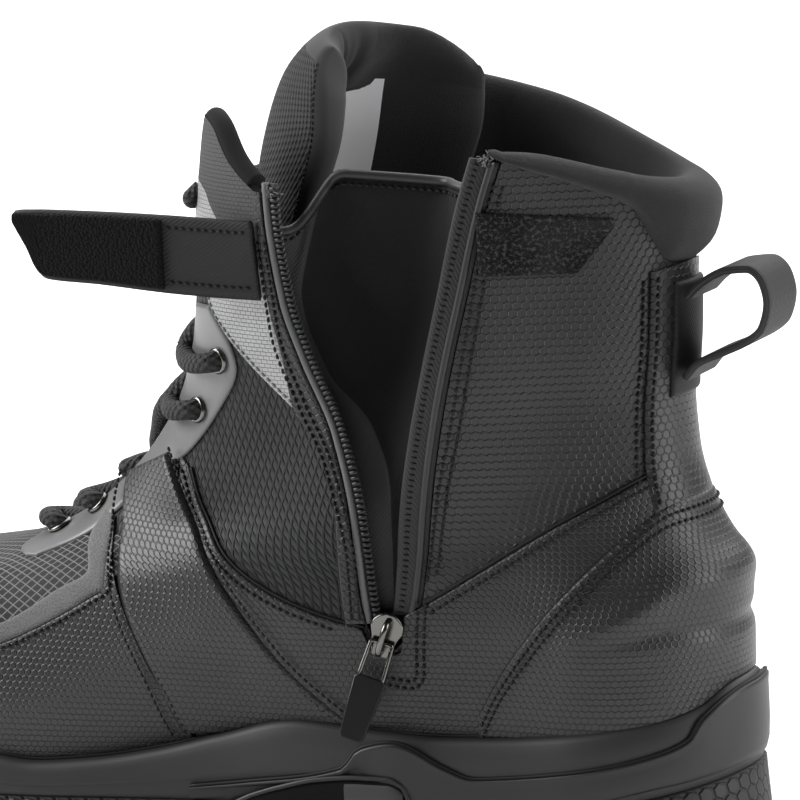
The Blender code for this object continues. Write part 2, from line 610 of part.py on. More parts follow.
def overlays():
    """Pieces laid on the wall: counter, backstay, toe guard, saddle straps, eyestays and the loop patch."""
    turn = np.linspace(0.345, -0.345, 23)[None, :]
    low = level_of_line(turn, SOLE, 1, 1.2)
    high = np.maximum(level_of_line(turn, COUNTER_TOP), low + 0.008)
    share = np.linspace(0, 1, 8)[:, None]
    rows = low + share * (high - low)
    turns = turn * np.ones_like(rows)
    ridge = 2.6 * np.exp(-(((surface(turns, rows)[..., 2] - 73) / 6) ** 2)) * np.exp(-((turns / 0.2) ** 2))
    outer = skin(turns, rows, SEAT + OVERLAY + ridge).reshape(-1, 3)
    inner = skin(turns, rows, np.full(turns.shape, SEAT)).reshape(-1, 3)
    thick("heel_counter", outer, inner, grid_faces(*turns.shape), LEATHER)

    rows = np.linspace(float(level_at(15.0, 98.5)), 0.805, 8)[:, None]
    turn = np.linspace(0.125, -0.125, 9)[None, :]
    rows, turn = np.broadcast_arrays(rows, turn)
    patch("backstay", turn, rows, SEAT, SEAT + OVERLAY, LEATHER)

    start = float(around_at(196.0, 0.12))
    turn = np.linspace(start, 2 - start, 23)[None, :]
    low = level_of_line((turn + 1) % 2 - 1, SOLE, 1, 1.2)
    high = level_of_line((turn + 1) % 2 - 1, TOE_GUARD_TOP)
    share = np.linspace(0, 1, 6)[:, None]
    rows = low + share * (high - low)
    patch("toe_guard", turn * np.ones_like(rows), rows, SEAT + 0.3, SEAT + OVERLAY, LEATHER)

    for name, side in (("saddle_inner", 1), ("saddle_outer", -1)):
        down = smooth(np.linspace(0, 1, len(SADDLE)), SADDLE, np.linspace(0, 1, 9))
        share = np.linspace(0, 1, 6)[None, :]
        station = down[:, :1] + share * (down[:, 2:3] - down[:, :1])
        height = down[:, 1:2] + share * (down[:, 3:4] - down[:, 1:2])
        turn, rows = on_side(station, height, side)
        over = 1.7 * np.clip((height - 86) / 5, 0, 1)
        patch(name, turn, rows, SEAT + 0.2 + over, SEAT + OVERLAY + over, LEATHER)

    for name, side in (("eyestay_inner", 1), ("eyestay_outer", -1)):
        rows = np.linspace(EYESTAY[0, 0], EYESTAY[-1, 0], 12)[:, None]
        share = np.linspace(0, 1, 4)[None, :]
        near = np.minimum(by(EYESTAY, rows, 1), side * throat_around(rows, side) - 0.008)
        turn = side * (near + share * (by(EYESTAY, rows, 2) - near))
        patch(name, turn, rows * np.ones_like(share), SEAT, SEAT + 1.2, PLASTIC)

    station = np.linspace(LOOP_PATCH[0, 0], LOOP_PATCH[-1, 0], 7)[None, :]
    low, high = by(LOOP_PATCH, station, 1), by(LOOP_PATCH, station, 2)
    height = low + np.linspace(0, 1, 4)[:, None] * (high - low)
    turn, rows = on_side(station * np.ones_like(height), height, 1)
    patch("loop_patch", turn, rows, SEAT, SEAT + 1.2, TEXTILE)


def side_ring(turn, height, out):
    """Outline of the sole at a height: the boot's own outline near the floor, moved out level by out."""
    base = skin(turn, np.full(turn.shape, 0.07), np.zeros(turn.shape))
    ahead = surface(turn + 1e-3, np.full(turn.shape, 0.07)) - surface(turn - 1e-3, np.full(turn.shape, 0.07))
    flat = np.stack([-ahead[..., 1], ahead[..., 0]], -1)
    flat /= np.linalg.norm(flat, axis=-1, keepdims=True)
    point = base.copy()
    point[..., :2] += flat * np.asarray(out)[..., None]
    point[..., 2] = height
    return point


def closed_rings(name, rings, look):
    """A body from closed rings, its first and last ring drawn together on the sole's middle line."""
    count = rings[0].shape[0]
    faces = grid_faces(len(rings), count, wrap=True)
    return solid(name, np.concatenate(rings), faces, look)


def middle(ring):
    """The ring drawn in to a middle line a little shorter than itself, where points across from each other meet."""
    line = (ring + ring[::-1]) / 2
    line[:, 0] += 0.03 * (line[:, 0].mean() - line[:, 0])
    return line


def ring_turns(count):
    """Distances around that pair up across the middle line, with no point at the very back or front."""
    half = (np.arange(count // 2) + 0.5) / (count // 2)
    return np.concatenate([half, -half[::-1]])


def sole():
    turn = ring_turns(52)
    edge = skin(turn, np.zeros(turn.shape), np.full(turn.shape, SEAT))
    station = HEEL_REST - edge[:, 0]
    floor = surface(turn, np.zeros(turn.shape))[:, 2] - SEAT
    rim = level_of_line(turn, SOLE, 1)
    rim_in = skin(turn, rim, np.full(turn.shape, SEAT))
    rim_mid = skin(turn, rim / 2, np.full(turn.shape, SEAT))
    rim_out = side_ring(turn, rim_in[:, 2] - 0.6, np.full(turn.shape, SOLE_OUT - 1.2))
    rim_out[:, :2] = np.where(
        (np.linalg.norm(rim_out[:, :2] - rim_in[:, :2], axis=1) > 1.5)[:, None], rim_out[:, :2], rim_in[:, :2])
    joint = by(SOLE, station, 2)
    edge[:, 2] = floor
    rings = [
        middle(edge),
        edge,
        rim_mid,
        rim_in,
        rim_out,
        side_ring(turn, rim_in[:, 2] - 2.6, np.full(turn.shape, SOLE_OUT)),
        side_ring(turn, (rim_in[:, 2] + joint) / 2, np.full(turn.shape, SOLE_OUT + 0.4)),
        side_ring(turn, joint + 0.5, np.full(turn.shape, SOLE_OUT)),
    ]
    rings.append(middle(rings[-1]))
    closed_rings("midsole", rings, FOAM)

    top = side_ring(turn, joint, np.full(turn.shape, SOLE_OUT + 0.6))
    tread = by(SOLE, station, 3)
    low = side_ring(turn, tread + 2.0, np.full(turn.shape, SOLE_OUT + 2.6))
    foot = side_ring(turn, tread, np.full(turn.shape, SOLE_OUT + 0.8))
    slab = closed_rings("outsole", [
        middle(top), top, low, foot, middle(foot)], RUBBER)
    cut_grooves(slab)

    edge = skin(turn, np.full(turn.shape, 0.02), np.full(turn.shape, -WALL - 2.0))
    bed = floor + 0.5
    bottom = edge.copy()
    bottom[:, 2] = bed
    top = edge.copy()
    top[:, 2] = bed + 4.0
    closed_rings("insole", [middle(bottom), bottom, top, middle(top)], TEXTILE)

    end = float(around_at(150.0, 0.07))
    turn = np.linspace(end, -end, 39)[None, :]
    station = HEEL_REST - surface(turn, np.full(turn.shape, 0.07))[..., 0]
    low, high = by(CLIP, station, 1), by(CLIP, station, 2)
    height = low + np.linspace(0, 1, 3)[:, None] * (high - low)
    turns = turn * np.ones_like(height)
    outer = side_ring(turns, height, np.full(turns.shape, SOLE_OUT + 2.2)).reshape(-1, 3)
    inner = side_ring(turns, height, np.full(turns.shape, SOLE_OUT + 0.8)).reshape(-1, 3)
    thick("sole_clip", outer, inner, grid_faces(*turns.shape), PLASTIC)


def cut_grooves(slab):
    """Grooves across the tread leave its main lugs; the arch stays plain."""
    cutter = bmesh.new()
    half = GROOVE_WIDTH / 2
    for station, sweep in [(at, HEEL_SWEEP) for at in HEEL_GROOVES] + [(at, BALL_SWEEP) for at in BALL_GROOVES]:
        floor = float(by(SOLE, np.array(station), 3))
        for side in (-1, 1):
            near = [(HEEL_REST - station - half, side * SPINE_HALF), (HEEL_REST - station + half, side * SPINE_HALF)]
            far = [(x + sweep, side * GROOVE_REACH) for x, _ in reversed(near)]
            low = [cutter.verts.new((x * MM, y * MM, (floor - GROOVE_DEPTH) * MM)) for x, y in near + far]
            high = [cutter.verts.new((x * MM, y * MM, (floor + GROOVE_DEPTH) * MM)) for x, y in near + far]
            cutter.faces.new(low)
            cutter.faces.new(high)
            for k in range(4):
                cutter.faces.new((low[k], low[(k + 1) % 4], high[(k + 1) % 4], high[k]))
    bmesh.ops.recalc_face_normals(cutter, faces=cutter.faces)
    mesh = bpy.data.meshes.new("tread_cutter")
    cutter.to_mesh(mesh)
    cutter.free()
    guide = bpy.data.objects.new("tread_cutter", mesh)
    guide.hide_render = True
    guide.display_type = "WIRE"
    bpy.context.collection.objects.link(guide)
    cut = slab.modifiers.new("tread", "BOOLEAN")
    cut.operation = "DIFFERENCE"
    cut.solver = "EXACT"
    cut.object = guide


def pull_loop():
    at = np.linspace(0, 1, 19)
    path = smooth(np.linspace(0, 1, len(PULL_LOOP)), PULL_LOOP, at)
    line = np.stack([HEEL_REST - path[:, 0], np.zeros(len(at)), path[:, 1]], -1)
    along = np.gradient(line, axis=0)
    along /= np.linalg.norm(along, axis=1, keepdims=True)
    across = np.tile([0.0, 1.0, 0.0], (len(at), 1))
    up = np.cross(across, along)
    w, t = WEBBING_WIDTH / 2, WEBBING_THICK / 2
    swept("pull_loop", line, across, up, np.array([(-w, -t), (w, -t), (w, t), (-w, t)]), TEXTILE)


def strap():
    """The strap, flat and thin, and the hook pile sewn on the face that is turned out."""
    row = smooth(np.linspace(0, 1, len(STRAP)), STRAP, np.linspace(0, 1, STRAP_ROWS))
    share = np.linspace(0, 1, 3)[None, :]
    height = row[:, 2:3] + share * (row[:, 3:4] - row[:, 2:3])
    x = HEEL_REST - row[:, :1] * np.ones_like(share)
    y = row[:, 1:2] + row[:, 4:5] * (1 - share)

    def sheet(out, edge):
        inward = edge * (1 - 2 * share)
        return np.stack([x, y - out, height + inward], -1)

    faces = grid_faces(STRAP_ROWS, 3)
    thick("closure_strap", sheet(STRAP_THICK, 0).reshape(-1, 3), sheet(0, 0).reshape(-1, 3), faces, TEXTILE)
    span = slice(*PILE_ROWS)
    low = STRAP_THICK + 0.35
    outer = sheet(low + PILE_THICK, PILE_INSET)[span]
    inner = sheet(low, PILE_INSET)[span]
    thick("hook_pile", outer.reshape(-1, 3), inner.reshape(-1, 3), grid_faces(len(outer), 3), TEXTILE)


def laces():
    """Bars of round cord across the throat, bowed a little over the tongue."""
    share = np.linspace(0, 1, 7)[:, None]
    for k, level in enumerate(LACE_LEVELS):
        ends = [skin(throat_around(np.array(level), side), np.array(level), np.array(LACE_LIFT)) for side in (1, -1)]
        line = ends[0] + share * (ends[1] - ends[0])
        line[:, 0] -= LACE_BOW * np.sin(np.pi * share[:, 0])
        along = np.gradient(line, axis=0)
        along /= np.linalg.norm(along, axis=1, keepdims=True)
        up = np.cross(along, np.tile([1.0, 0.0, 0.0], (len(line), 1)))
        up /= np.linalg.norm(up, axis=1, keepdims=True)
        swept(f"lace_bar_{k + 1}", line, np.cross(up, along), up, rounded(LACE_SIDES, LACE_RADIUS), CORD)


def place(points, origin, side, up, out):
    """Local points (side, up, out) in the boot's frame."""
    return origin + points[..., :1] * side + points[..., 1:2] * up + points[..., 2:] * out


def frame_at(turn, level):
    """Origin and the side, up and outward directions of the skin at one point."""
    here = surface(turn, level)
    up = surface(turn, level + 0.01) - surface(turn, level - 0.01)
    up /= np.linalg.norm(up)
    out = skin(turn, level, np.array(1.0)) - here
    out -= up * (out @ up)
    out /= np.linalg.norm(out)
    return here, np.cross(up, out), up, out


def extruded(name, outline, low, high, frame, look):
    """A flat outline in side and up, thickened from low to high along out."""
    outline = np.asarray(outline, float)
    count = len(outline)
    points = np.concatenate([
        np.column_stack([outline, np.full(count, low)]), np.column_stack([outline, np.full(count, high)])])
    faces = [tuple(range(count)), tuple(range(count, 2 * count))]
    faces += [(k, (k + 1) % count, (k + 1) % count + count, k + count) for k in range(count)]
    return solid(name, place(points, *frame), faces, look)


def rectangle(half, low, high):
    return [(-half, low), (half, low), (half, high), (-half, high)]


def joined(name, pieces):
    """Pieces united into the first, which keeps its look and takes the name."""
    body = pieces[0]
    for other in pieces[1:]:
        step = body.modifiers.new("join", "BOOLEAN")
        step.operation = "UNION"
        step.solver = "EXACT"
        step.object = other
        other.hide_render = True
        other.display_type = "WIRE"
    body.name = name
    return body


def zip_slider():
    """Slider with its bridge, and the pull that swings on the bridge."""
    turn, level = (float(v) for v in on_side(np.array(SLIDER_STATION), np.array(SLIDER_HEIGHT)))
    here, side, up, out = frame_at(turn, level)
    base = here + out * SLIDER_LIFT
    frame = (base, side, up, out)
    plate = extruded("slider_plate", SLIDER_PLATE, 0.0, SLIDER_PLATE_THICK, frame, METAL)
    legs = [
        extruded(name, rectangle(BRIDGE_HALF_WIDTH, *ends), SLIDER_PLATE_THICK - 0.6, BRIDGE_TOP - 0.4, frame, METAL)
        for name, ends in (("slider_leg_low", BRIDGE_FOOT), ("slider_leg_high", BRIDGE_HEAD))
    ]
    whole = rectangle(BRIDGE_HALF_WIDTH, BRIDGE_FOOT[0], BRIDGE_HEAD[1])
    span = extruded("slider_span", whole, BRIDGE_UNDER, BRIDGE_TOP, frame, METAL)
    joined("zip_slider", [plate, *legs, span])

    pivot = base - up * PULL_DROP + out * PULL_OUT
    lean = math.radians(PULL_TILT)
    down = -up * math.cos(lean) + out * math.sin(lean)
    face = out * math.cos(lean) + up * math.sin(lean)
    hang = (np.zeros(3), side, -down, face)
    tab = extruded("pull_tab", PULL_OUTLINE, -PULL_HALF_THICK, PULL_HALF_THICK, hang, METAL)
    half, thin = PULL_BAR_HALF
    bar = extruded("pull_bar", rectangle(half, -thin, thin), -thin, thin, hang, METAL)
    pull = joined("zip_pull", [tab, bar])
    for piece in (pull, bar):
        piece.location = (pivot * MM).tolist()


def eyelets():
    """Ring around each lower lace hole of both eyestays."""
    for side, word in ((1, "inner"), (-1, "outer")):
        for k, (level, turn) in enumerate(EYELETS):
            here, across, up, out = frame_at(side * turn, level)
            centre = here + out * (SEAT + 1.2 + 0.45)
            circle = rounded(EYELET_SIDES, 1.0)
            rings = []
            for radius, lift in EYELET_RING:
                local = np.column_stack([circle * radius, np.full(EYELET_SIDES, lift)])
                rings.append(place(local, centre, across, up, out))
            rings.append(rings[0])
            faces = grid_faces(len(rings), EYELET_SIDES, wrap=True)
            solid(f"eyelet_{word}_{k + 1}", np.concatenate(rings), faces, METAL)


def clear_scene():
    for found in list(bpy.data.objects):
        bpy.data.objects.remove(found)


clear_scene()
collar(*upper())
strip_padding()
tongue()
gusset()
zip_tapes()
overlays()
sole()
pull_loop()
strap()
laces()
zip_slider()
eyelets()
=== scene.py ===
"""Looks of the right-foot side-zip boot: cloth, leather, seams, zip, lace and sole, as surfaces on the last.

Lengths are millimetres until make() turns them into metres. A station is the distance from the back of the
sole towards the toe, x = HEEL_REST - station. Around is the place along a section of the last, 0 at the back,
1 at the front by the zip side and -1 by the outer side. Level is 0 at the sole's edge and 1 at the collar.
"""

import math

import bpy
import mathutils
import numpy as np
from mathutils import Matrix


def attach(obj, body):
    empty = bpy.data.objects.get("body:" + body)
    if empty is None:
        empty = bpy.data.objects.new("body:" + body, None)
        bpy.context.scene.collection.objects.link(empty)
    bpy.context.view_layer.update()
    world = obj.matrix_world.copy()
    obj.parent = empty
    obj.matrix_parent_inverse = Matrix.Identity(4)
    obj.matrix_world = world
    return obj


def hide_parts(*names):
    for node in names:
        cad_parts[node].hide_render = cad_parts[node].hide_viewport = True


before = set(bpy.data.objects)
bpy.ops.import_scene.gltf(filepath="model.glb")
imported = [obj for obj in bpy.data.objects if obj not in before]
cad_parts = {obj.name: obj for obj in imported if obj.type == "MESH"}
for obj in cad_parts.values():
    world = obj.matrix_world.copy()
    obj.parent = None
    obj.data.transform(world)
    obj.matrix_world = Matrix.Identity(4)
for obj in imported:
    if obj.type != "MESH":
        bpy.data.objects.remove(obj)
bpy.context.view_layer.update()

MM = 0.001
# Station of the frame's origin, and thickness of the wall.
HEEL_REST = 42.0
WALL = 2.2
# Level of the throat's foot, and how far overlays keep from the throat's edge.
THROAT_FOOT = 0.469
THROAT_CLEAR = 0.012
# Share of their length at which the toe's overlays begin to turn to the middle.
TOE_TURN = 0.86
# Swing of the toe to the inner side, and bow of the outer top edge against that of the inner one.
TOE_SWING = 7.0
OUTER_BOW = 2.2
# Level of the outline that the sole follows, and points round it.
SOLE_LEVEL = 0.07
SOLE_POINTS = 321
# Height of the slit's foot; the slider's place on the skin, and how far it stands off it.
SLIT_FOOT = 56.0
SLIDER_STATION = 91.0
SLIDER_HEIGHT = 62.0
SLIDER_SEAT = 0.8
# Stitches: pitch, radius of the thread, points along a seam.
STITCH_PITCH = 2.1
THREAD_RADIUS = 0.42
SEAM_POINTS = 60
HEX_CELL = 2.35
FINE_HEX_CELL = 1.9

# The last: level, back station and z, front station and z, half widths at heel, waist and ball for the inner
# and the outer side, rounded shares of heel and toe, dip of the ball, bow of the middle.
LAST = np.array([
    (0.0, 8.0, 27.0, 299.0, 25.0, 31.0, 33.0, 45.0, 31.0, 35.0, 47.0, 0.13, 0.26, 12.0, 0.0),
    (0.1, 5.0, 44.0, 303.0, 38.0, 34.0, 40.0, 49.0, 34.0, 39.0, 50.0, 0.13, 0.26, 7.0, 0.0),
    (0.2, 5.0, 62.0, 294.0, 55.0, 34.5, 43.5, 44.0, 34.5, 40.0, 44.0, 0.13, 0.32, 2.0, 0.0),
    (0.3, 7.5, 78.0, 268.0, 66.0, 33.0, 44.0, 40.0, 33.0, 40.0, 40.0, 0.16, 0.42, 0.0, 0.0),
    (0.4, 14.5, 94.0, 232.0, 71.5, 31.0, 43.5, 39.0, 31.0, 40.0, 38.0, 0.20, 0.46, 0.0, 0.0),
    (0.5, 18.5, 109.0, 203.0, 81.0, 30.5, 43.0, 37.0, 30.5, 39.5, 35.0, 0.24, 0.48, 0.0, 0.0),
    (0.6, 19.5, 124.0, 180.0, 100.5, 30.5, 42.5, 38.0, 30.5, 39.0, 33.0, 0.28, 0.48, 0.0, 0.0),
    (0.7, 18.5, 140.0, 165.0, 125.0, 31.0, 42.0, 42.0, 31.0, 38.5, 33.0, 0.30, 0.46, 0.0, 0.0),
    (0.8, 18.0, 156.0, 159.0, 150.0, 31.5, 41.5, 47.0, 31.5, 38.5, 34.0, 0.32, 0.42, 0.0, 0.0),
    (0.9, 17.0, 170.0, 156.0, 176.0, 32.0, 41.5, 51.0, 32.0, 39.0, 36.0, 0.33, 0.40, 0.0, 0.0),
    (1.0, 16.0, 181.0, 152.0, 200.0, 33.0, 42.0, 52.0, 33.0, 40.0, 37.0, 0.34, 0.40, 0.0, 5.0),
])
WIDTH_SHARES = (0.0, 0.15, 0.42, 0.72, 1.0)
# Throat: level, half width on the inner and the outer side.
THROAT = np.array([
    (0.469, 0.0, 0.0), (0.485, 6.0, 6.0), (0.51, 9.5, 9.5), (0.56, 13.0, 13.0), (0.62, 17.0, 15.0),
    (0.70, 21.0, 17.0), (0.80, 26.0, 20.0), (0.90, 29.0, 22.0), (1.0, 31.0, 24.0)])
# Open zip: height, station of the front and of the rear free edge, width of the front and of the rear tape.
ZIP = np.array([
    (56.0, 91.5, 90.5, 0.2, 0.2), (61.0, 92.5, 89.5, 2.5, 3.5), (72.0, 93.6, 87.2, 4.0, 6.5),
    (94.0, 95.2, 84.5, 4.0, 7.0), (116.0, 100.6, 80.5, 4.0, 7.0), (136.0, 108.5, 76.0, 4.0, 7.0),
    (153.0, 112.5, 71.8, 4.0, 7.0), (176.0, 114.0, 66.0, 4.0, 7.0), (200.0, 115.0, 58.0, 4.0, 7.0)])
# Top of the wall under the collar: around, level.
COLLAR_SEAM = np.array([
    (0.0, 0.82), (0.08, 0.83), (0.12, 0.87), (0.17, 0.94), (0.22, 0.963), (0.3, 0.97), (1.0, 0.97)])
# Rise of that seam towards the zip, as a level.
COLLAR_RISE = 0.027
# Top of the front strip: share from its zip edge to its throat edge, level.
STRIP_TOP = np.array([(0.0, 0.925), (0.35, 0.955), (0.7, 0.99), (1.0, 0.999)])
# Side of the sole: station, top of its rim, joint of midsole and outsole, tread.
SOLE = np.array([
    (0.0, 48.5, 24.0, 4.0), (5.0, 48.5, 23.5, 1.0), (12.0, 43.0, 22.0, 0.0), (21.0, 40.0, 20.0, 0.0),
    (42.0, 36.4, 16.0, 0.0), (60.0, 34.5, 14.0, 0.0), (82.0, 33.5, 13.0, 3.0), (96.0, 34.5, 13.0, 8.0),
    (118.0, 36.5, 13.4, 9.0), (142.0, 30.8, 12.8, 6.0), (160.0, 26.0, 12.4, 0.0), (178.0, 22.8, 12.2, 0.0),
    (196.0, 21.4, 12.0, 0.0), (208.0, 22.8, 12.0, 0.0), (235.0, 23.5, 12.0, 0.0), (270.0, 29.0, 15.0, 3.5),
    (304.0, 40.0, 25.0, 13.0)])
# Clip round the heel: station, lower edge, upper edge.
CLIP = np.array([
    (0.0, 26.0, 47.0), (5.0, 25.5, 47.0), (12.5, 24.0, 40.5), (15.0, 23.5, 35.0), (21.0, 22.5, 31.8),
    (37.0, 18.5, 27.6), (59.0, 15.5, 24.2), (68.0, 14.8, 23.5), (76.0, 14.5, 26.1), (90.0, 14.5, 32.3),
    (100.0, 14.5, 30.1), (105.0, 14.5, 24.4), (132.0, 13.5, 19.0), (150.0, 13.0, 16.5)])
# Upper edge of the inset under the arch: station, height.
ARCH = np.array([
    (85.5, 12.0), (86.3, 17.0), (88.0, 20.6), (92.0, 22.2), (100.0, 22.2), (112.0, 21.0), (122.0, 18.4),
    (131.0, 15.3), (138.0, 12.0)])
# Heel counter's upper edge: station, height.
COUNTER_TOP = np.array([(13.0, 97.5), (19.0, 96.4), (28.0, 88.6), (41.0, 75.5), (59.0, 53.4), (68.0, 38.0)])
# Ridge and recess pressed into the counter: station, height of the ridge, height of the recess.
COUNTER_FORM = np.array([(5.0, 76.5, 63.5), (15.0, 75.0, 64.0), (26.0, 68.5, 63.0), (45.0, 57.0, 57.0)])
# Upper edge of the lower panel, round the foot of the zip to the saddle: station, height.
LOWER_TOP = np.array([
    (14.0, 107.5), (24.7, 103.2), (34.8, 97.5), (46.4, 91.0), (66.0, 78.9), (80.6, 70.0), (86.0, 67.0),
    (87.5, 57.0), (95.5, 57.0), (97.0, 63.5), (104.4, 65.3), (122.4, 71.9), (136.6, 80.3), (147.5, 93.4),
    (151.5, 102.2), (155.7, 106.0)])
# The same edge on the outer side, where there is no zip.
LOWER_TOP_OUTER = np.array([
    (14.0, 107.5), (24.7, 103.2), (34.8, 97.5), (46.4, 91.0), (66.0, 78.9), (80.6, 70.0), (104.4, 65.3),
    (122.4, 71.9), (136.6, 80.3), (147.5, 93.4), (151.5, 102.2), (155.7, 106.0)])
# Facing beside the front tape: height, station of its edge away from the zip.
FACING = np.array([
    (60.0, 101.5), (71.4, 102.4), (93.3, 103.0), (111.6, 107.7), (117.8, 112.2), (122.5, 115.6),
    (138.5, 117.6), (154.6, 119.7), (175.0, 120.3), (200.0, 121.0)])
# Lower edge of the woven panel on the front strip: station, height.
WOVEN_LOW = np.array([
    (113.0, 119.5), (116.4, 122.5), (133.9, 138.3), (141.7, 146.9), (143.5, 152.0), (160.0, 162.0)])
# Saddle strap from the eyestay to the sole: front edge and rear edge, each a station and a height.
SADDLE = np.array([
    (176.0, 97.5, 159.5, 106.0), (175.0, 90.0, 153.0, 96.0), (173.0, 82.0, 147.0, 87.0),
    (168.0, 66.0, 134.0, 70.0), (159.0, 46.0, 117.0, 49.0), (154.0, 31.0, 101.0, 34.0)])
# Rows of stitches beside the zip and round its foot: station, height.
REAR_STITCH = np.array([
    (55.9, 182.9), (57.9, 176.2), (62.6, 152.7), (69.2, 120.9), (74.5, 99.1), (78.3, 77.2)])
FRONT_STITCH = np.array([
    (118.7, 168.5), (118.2, 143.8), (113.1, 124.7), (104.5, 106.4), (99.0, 82.7), (98.9, 66.1)])
FOOT_STITCH = np.array([(82.0, 71.5), (82.8, 60.0), (83.6, 50.5), (85.5, 49.2), (92.2, 50.1)])
# Band between toe panel and vamp: its upper and its lower edge, each a station and a height.
BAND = np.array([
    (183.5, 87.0, 178.5, 86.5), (185.6, 81.5, 175.9, 79.0), (181.2, 73.9, 174.2, 70.6),
    (190.0, 68.2, 179.3, 66.8), (206.7, 58.5, 205.8, 53.4), (226.0, 54.0, 225.0, 48.5),
    (250.0, 53.0, 250.0, 47.5), (278.0, 55.5, 280.0, 50.0), (301.0, 55.0, 303.0, 50.0)])
# Stations between which the toe panel and the lower panel run, the latter's end at the sole and on top.
TOE_SPAN = (150.0, 303.0)
LOWER_SPAN = (12.0, 150.0, 156.0)
# Eyestay: level, distance around of its throat edge and of its rear edge.
EYESTAY = np.array([
    (0.40, 0.775, 0.755), (0.43, 0.845, 0.765), (0.47, 0.905, 0.775), (0.50, 0.925, 0.785),
    (0.53, 0.90, 0.795), (0.57, 0.88, 0.785), (0.61, 0.86, 0.74), (0.665, 0.845, 0.715),
    (0.71, 0.835, 0.698), (0.745, 0.825, 0.715), (0.79, 0.82, 0.77)])
# Eyelets: level, distance around; and the section of a ring: radius, height.
EYELETS = ((0.482, 0.874), (0.532, 0.866), (0.665, 0.757), (0.726, 0.733))
EYELET_RING = np.array([
    (3.7, 0.0), (3.65, 0.4), (3.3, 0.75), (2.8, 0.8), (2.4, 0.55), (2.2, 0.0), (2.1, -1.5)])
# How far up the lace runs from an eyelet to its crossing, as a level.
LACE_RISE = 0.036
# Slanting crossings of the lace: level on the inner side, level on the outer side.
LACE_CROSSINGS = ((0.595, 0.56), (0.69, 0.54), (0.85, 0.83), (0.915, 0.90))
LACE_RADIUS = 2.75
# Tongue, from the throat up: front station and height, half width and run back of the inner edge, the same of
# the outer edge, and the drop of the edges.
TONGUE = np.array([
    (213.0, 72.0, 7.0, 1.0, 7.0, 1.0, 3.0), (203.0, 76.0, 10.0, 2.0, 10.0, 2.0, 3.0),
    (190.0, 87.0, 14.0, 4.0, 14.0, 4.0, 4.0), (173.0, 102.0, 17.0, 8.0, 17.0, 8.0, 5.0),
    (158.0, 122.0, 19.0, 12.0, 22.0, 18.0, 5.0), (149.0, 143.0, 21.0, 16.0, 27.0, 30.0, 4.0),
    (144.0, 166.0, 23.0, 22.0, 30.0, 44.0, 2.0), (139.0, 190.0, 25.0, 26.0, 32.0, 50.0, 2.0),
    (132.0, 208.0, 24.0, 20.0, 34.0, 44.0, 5.0), (120.0, 220.6, 20.0, 10.0, 34.0, 37.5, 5.5)])
TONGUE_THICK = 7.0
TONGUE_SWELL = 5.0
TONGUE_LONG = 205.0
LABEL_LEAN = 0.35
# Creases in the tongue's roll: share of the way across, half width.
TONGUE_CREASES = ((-0.05, 0.05), (0.32, 0.05))
# Labels inside the tongue: piece, foot and top as shares of its length, left and right edge, lift.
TONGUE_LABELS = (
    ("size_label", 0.70, 0.885, 0.44, 0.71, 1.0), ("size_label_under", 0.71, 0.87, 0.34, 0.62, 0.6))
# Padded collar's profile: share of the way up, lift where it is slim and where it is deep, rise above the
# top, and fall below the seam on the inside, as a level.
COLLAR_ROLL = np.array([
    (0.0, 0.3, 0.3, 0.0, 0.0), (0.25, 1.4, 5.2, 0.0, 0.0), (0.6, 2.3, 6.8, 0.5, 0.0),
    (0.9, 2.2, 6.4, 2.0, 0.0), (1.0, 0.4, 2.4, 4.5, 0.0), (1.0, -3.0, -2.4, 5.0, 0.0),
    (0.9, -5.2, -6.4, 2.0, 0.0), (0.4, -6.0, -7.6, 0.0, 0.02), (0.0, -6.2, -7.4, 0.0, 0.08),
    (0.0, -5.2, -5.6, 0.0, 0.13), (0.0, -2.3, -2.3, 0.0, 0.14), (0.0, -2.3, -2.3, 0.0, 0.01)])
# Dome that closes the collar's ends: share of the profile's size, reach past the end.
COLLAR_DOME = ((0.92, 2.2), (0.7, 4.2), (0.0, 5.0))
# How far the collar's top dips: around, drop.
COLLAR_DROP = np.array([
    (-0.6, 2.0), (-0.45, 5.0), (-0.25, 6.5), (0.0, 5.0), (0.12, 5.0), (0.3, 2.2), (0.4, -0.5)])
# Fold of the gusset: level, share of the way from the rear tape to the front tape.
GUSSET_FOLD = np.array([(0.2, 0.5), (0.5, 0.52), (0.62, 0.68), (0.72, 0.83), (0.84, 0.86), (0.93, 0.74)])
# Webbing loop: station, height.
PULL_LOOP = np.array([
    (14.6, 150.5), (11.0, 154.0), (4.0, 157.8), (-2.0, 158.4), (-5.8, 155.6), (-7.4, 149.5),
    (-5.8, 143.0), (-1.8, 139.4), (4.5, 136.4), (12.0, 133.0), (15.6, 129.0)])
# Hook strap: station, y of its upper edge, height of its lower and upper edge, lean of its lower edge.
STRAP = np.array([
    (121.0, -48.5, 153.0, 172.8, 2.9), (128.0, -49.2, 153.4, 173.0, 2.6), (145.0, -51.0, 154.8, 174.0, 1.6),
    (164.0, -53.0, 157.0, 174.9, 0.6), (180.6, -54.6, 158.7, 175.4, 0.0), (184.6, -55.1, 166.4, 175.4, 0.0),
    (188.0, -55.6, 173.6, 175.1, 0.0)])
STRAP_FACE = (0.0, -1.0, 0.0)
# Slider: right half of its outline, across and up; and its bridge, across, up and out.
SLIDER_HALF = [(2.2, -6.0), (3.0, -3.5), (3.6, -0.5), (4.6, 2.0), (4.2, 4.0), (3.0, 5.4), (1.2, 6.5)]
BRIDGE = np.array([
    (0, -4.6, 0.8), (0, -4.4, 3.4), (0, -3.4, 4.7), (0, -1.0, 5.0), (0, 2.4, 4.7), (0, 4.0, 3.6),
    (0, 4.8, 0.8)])
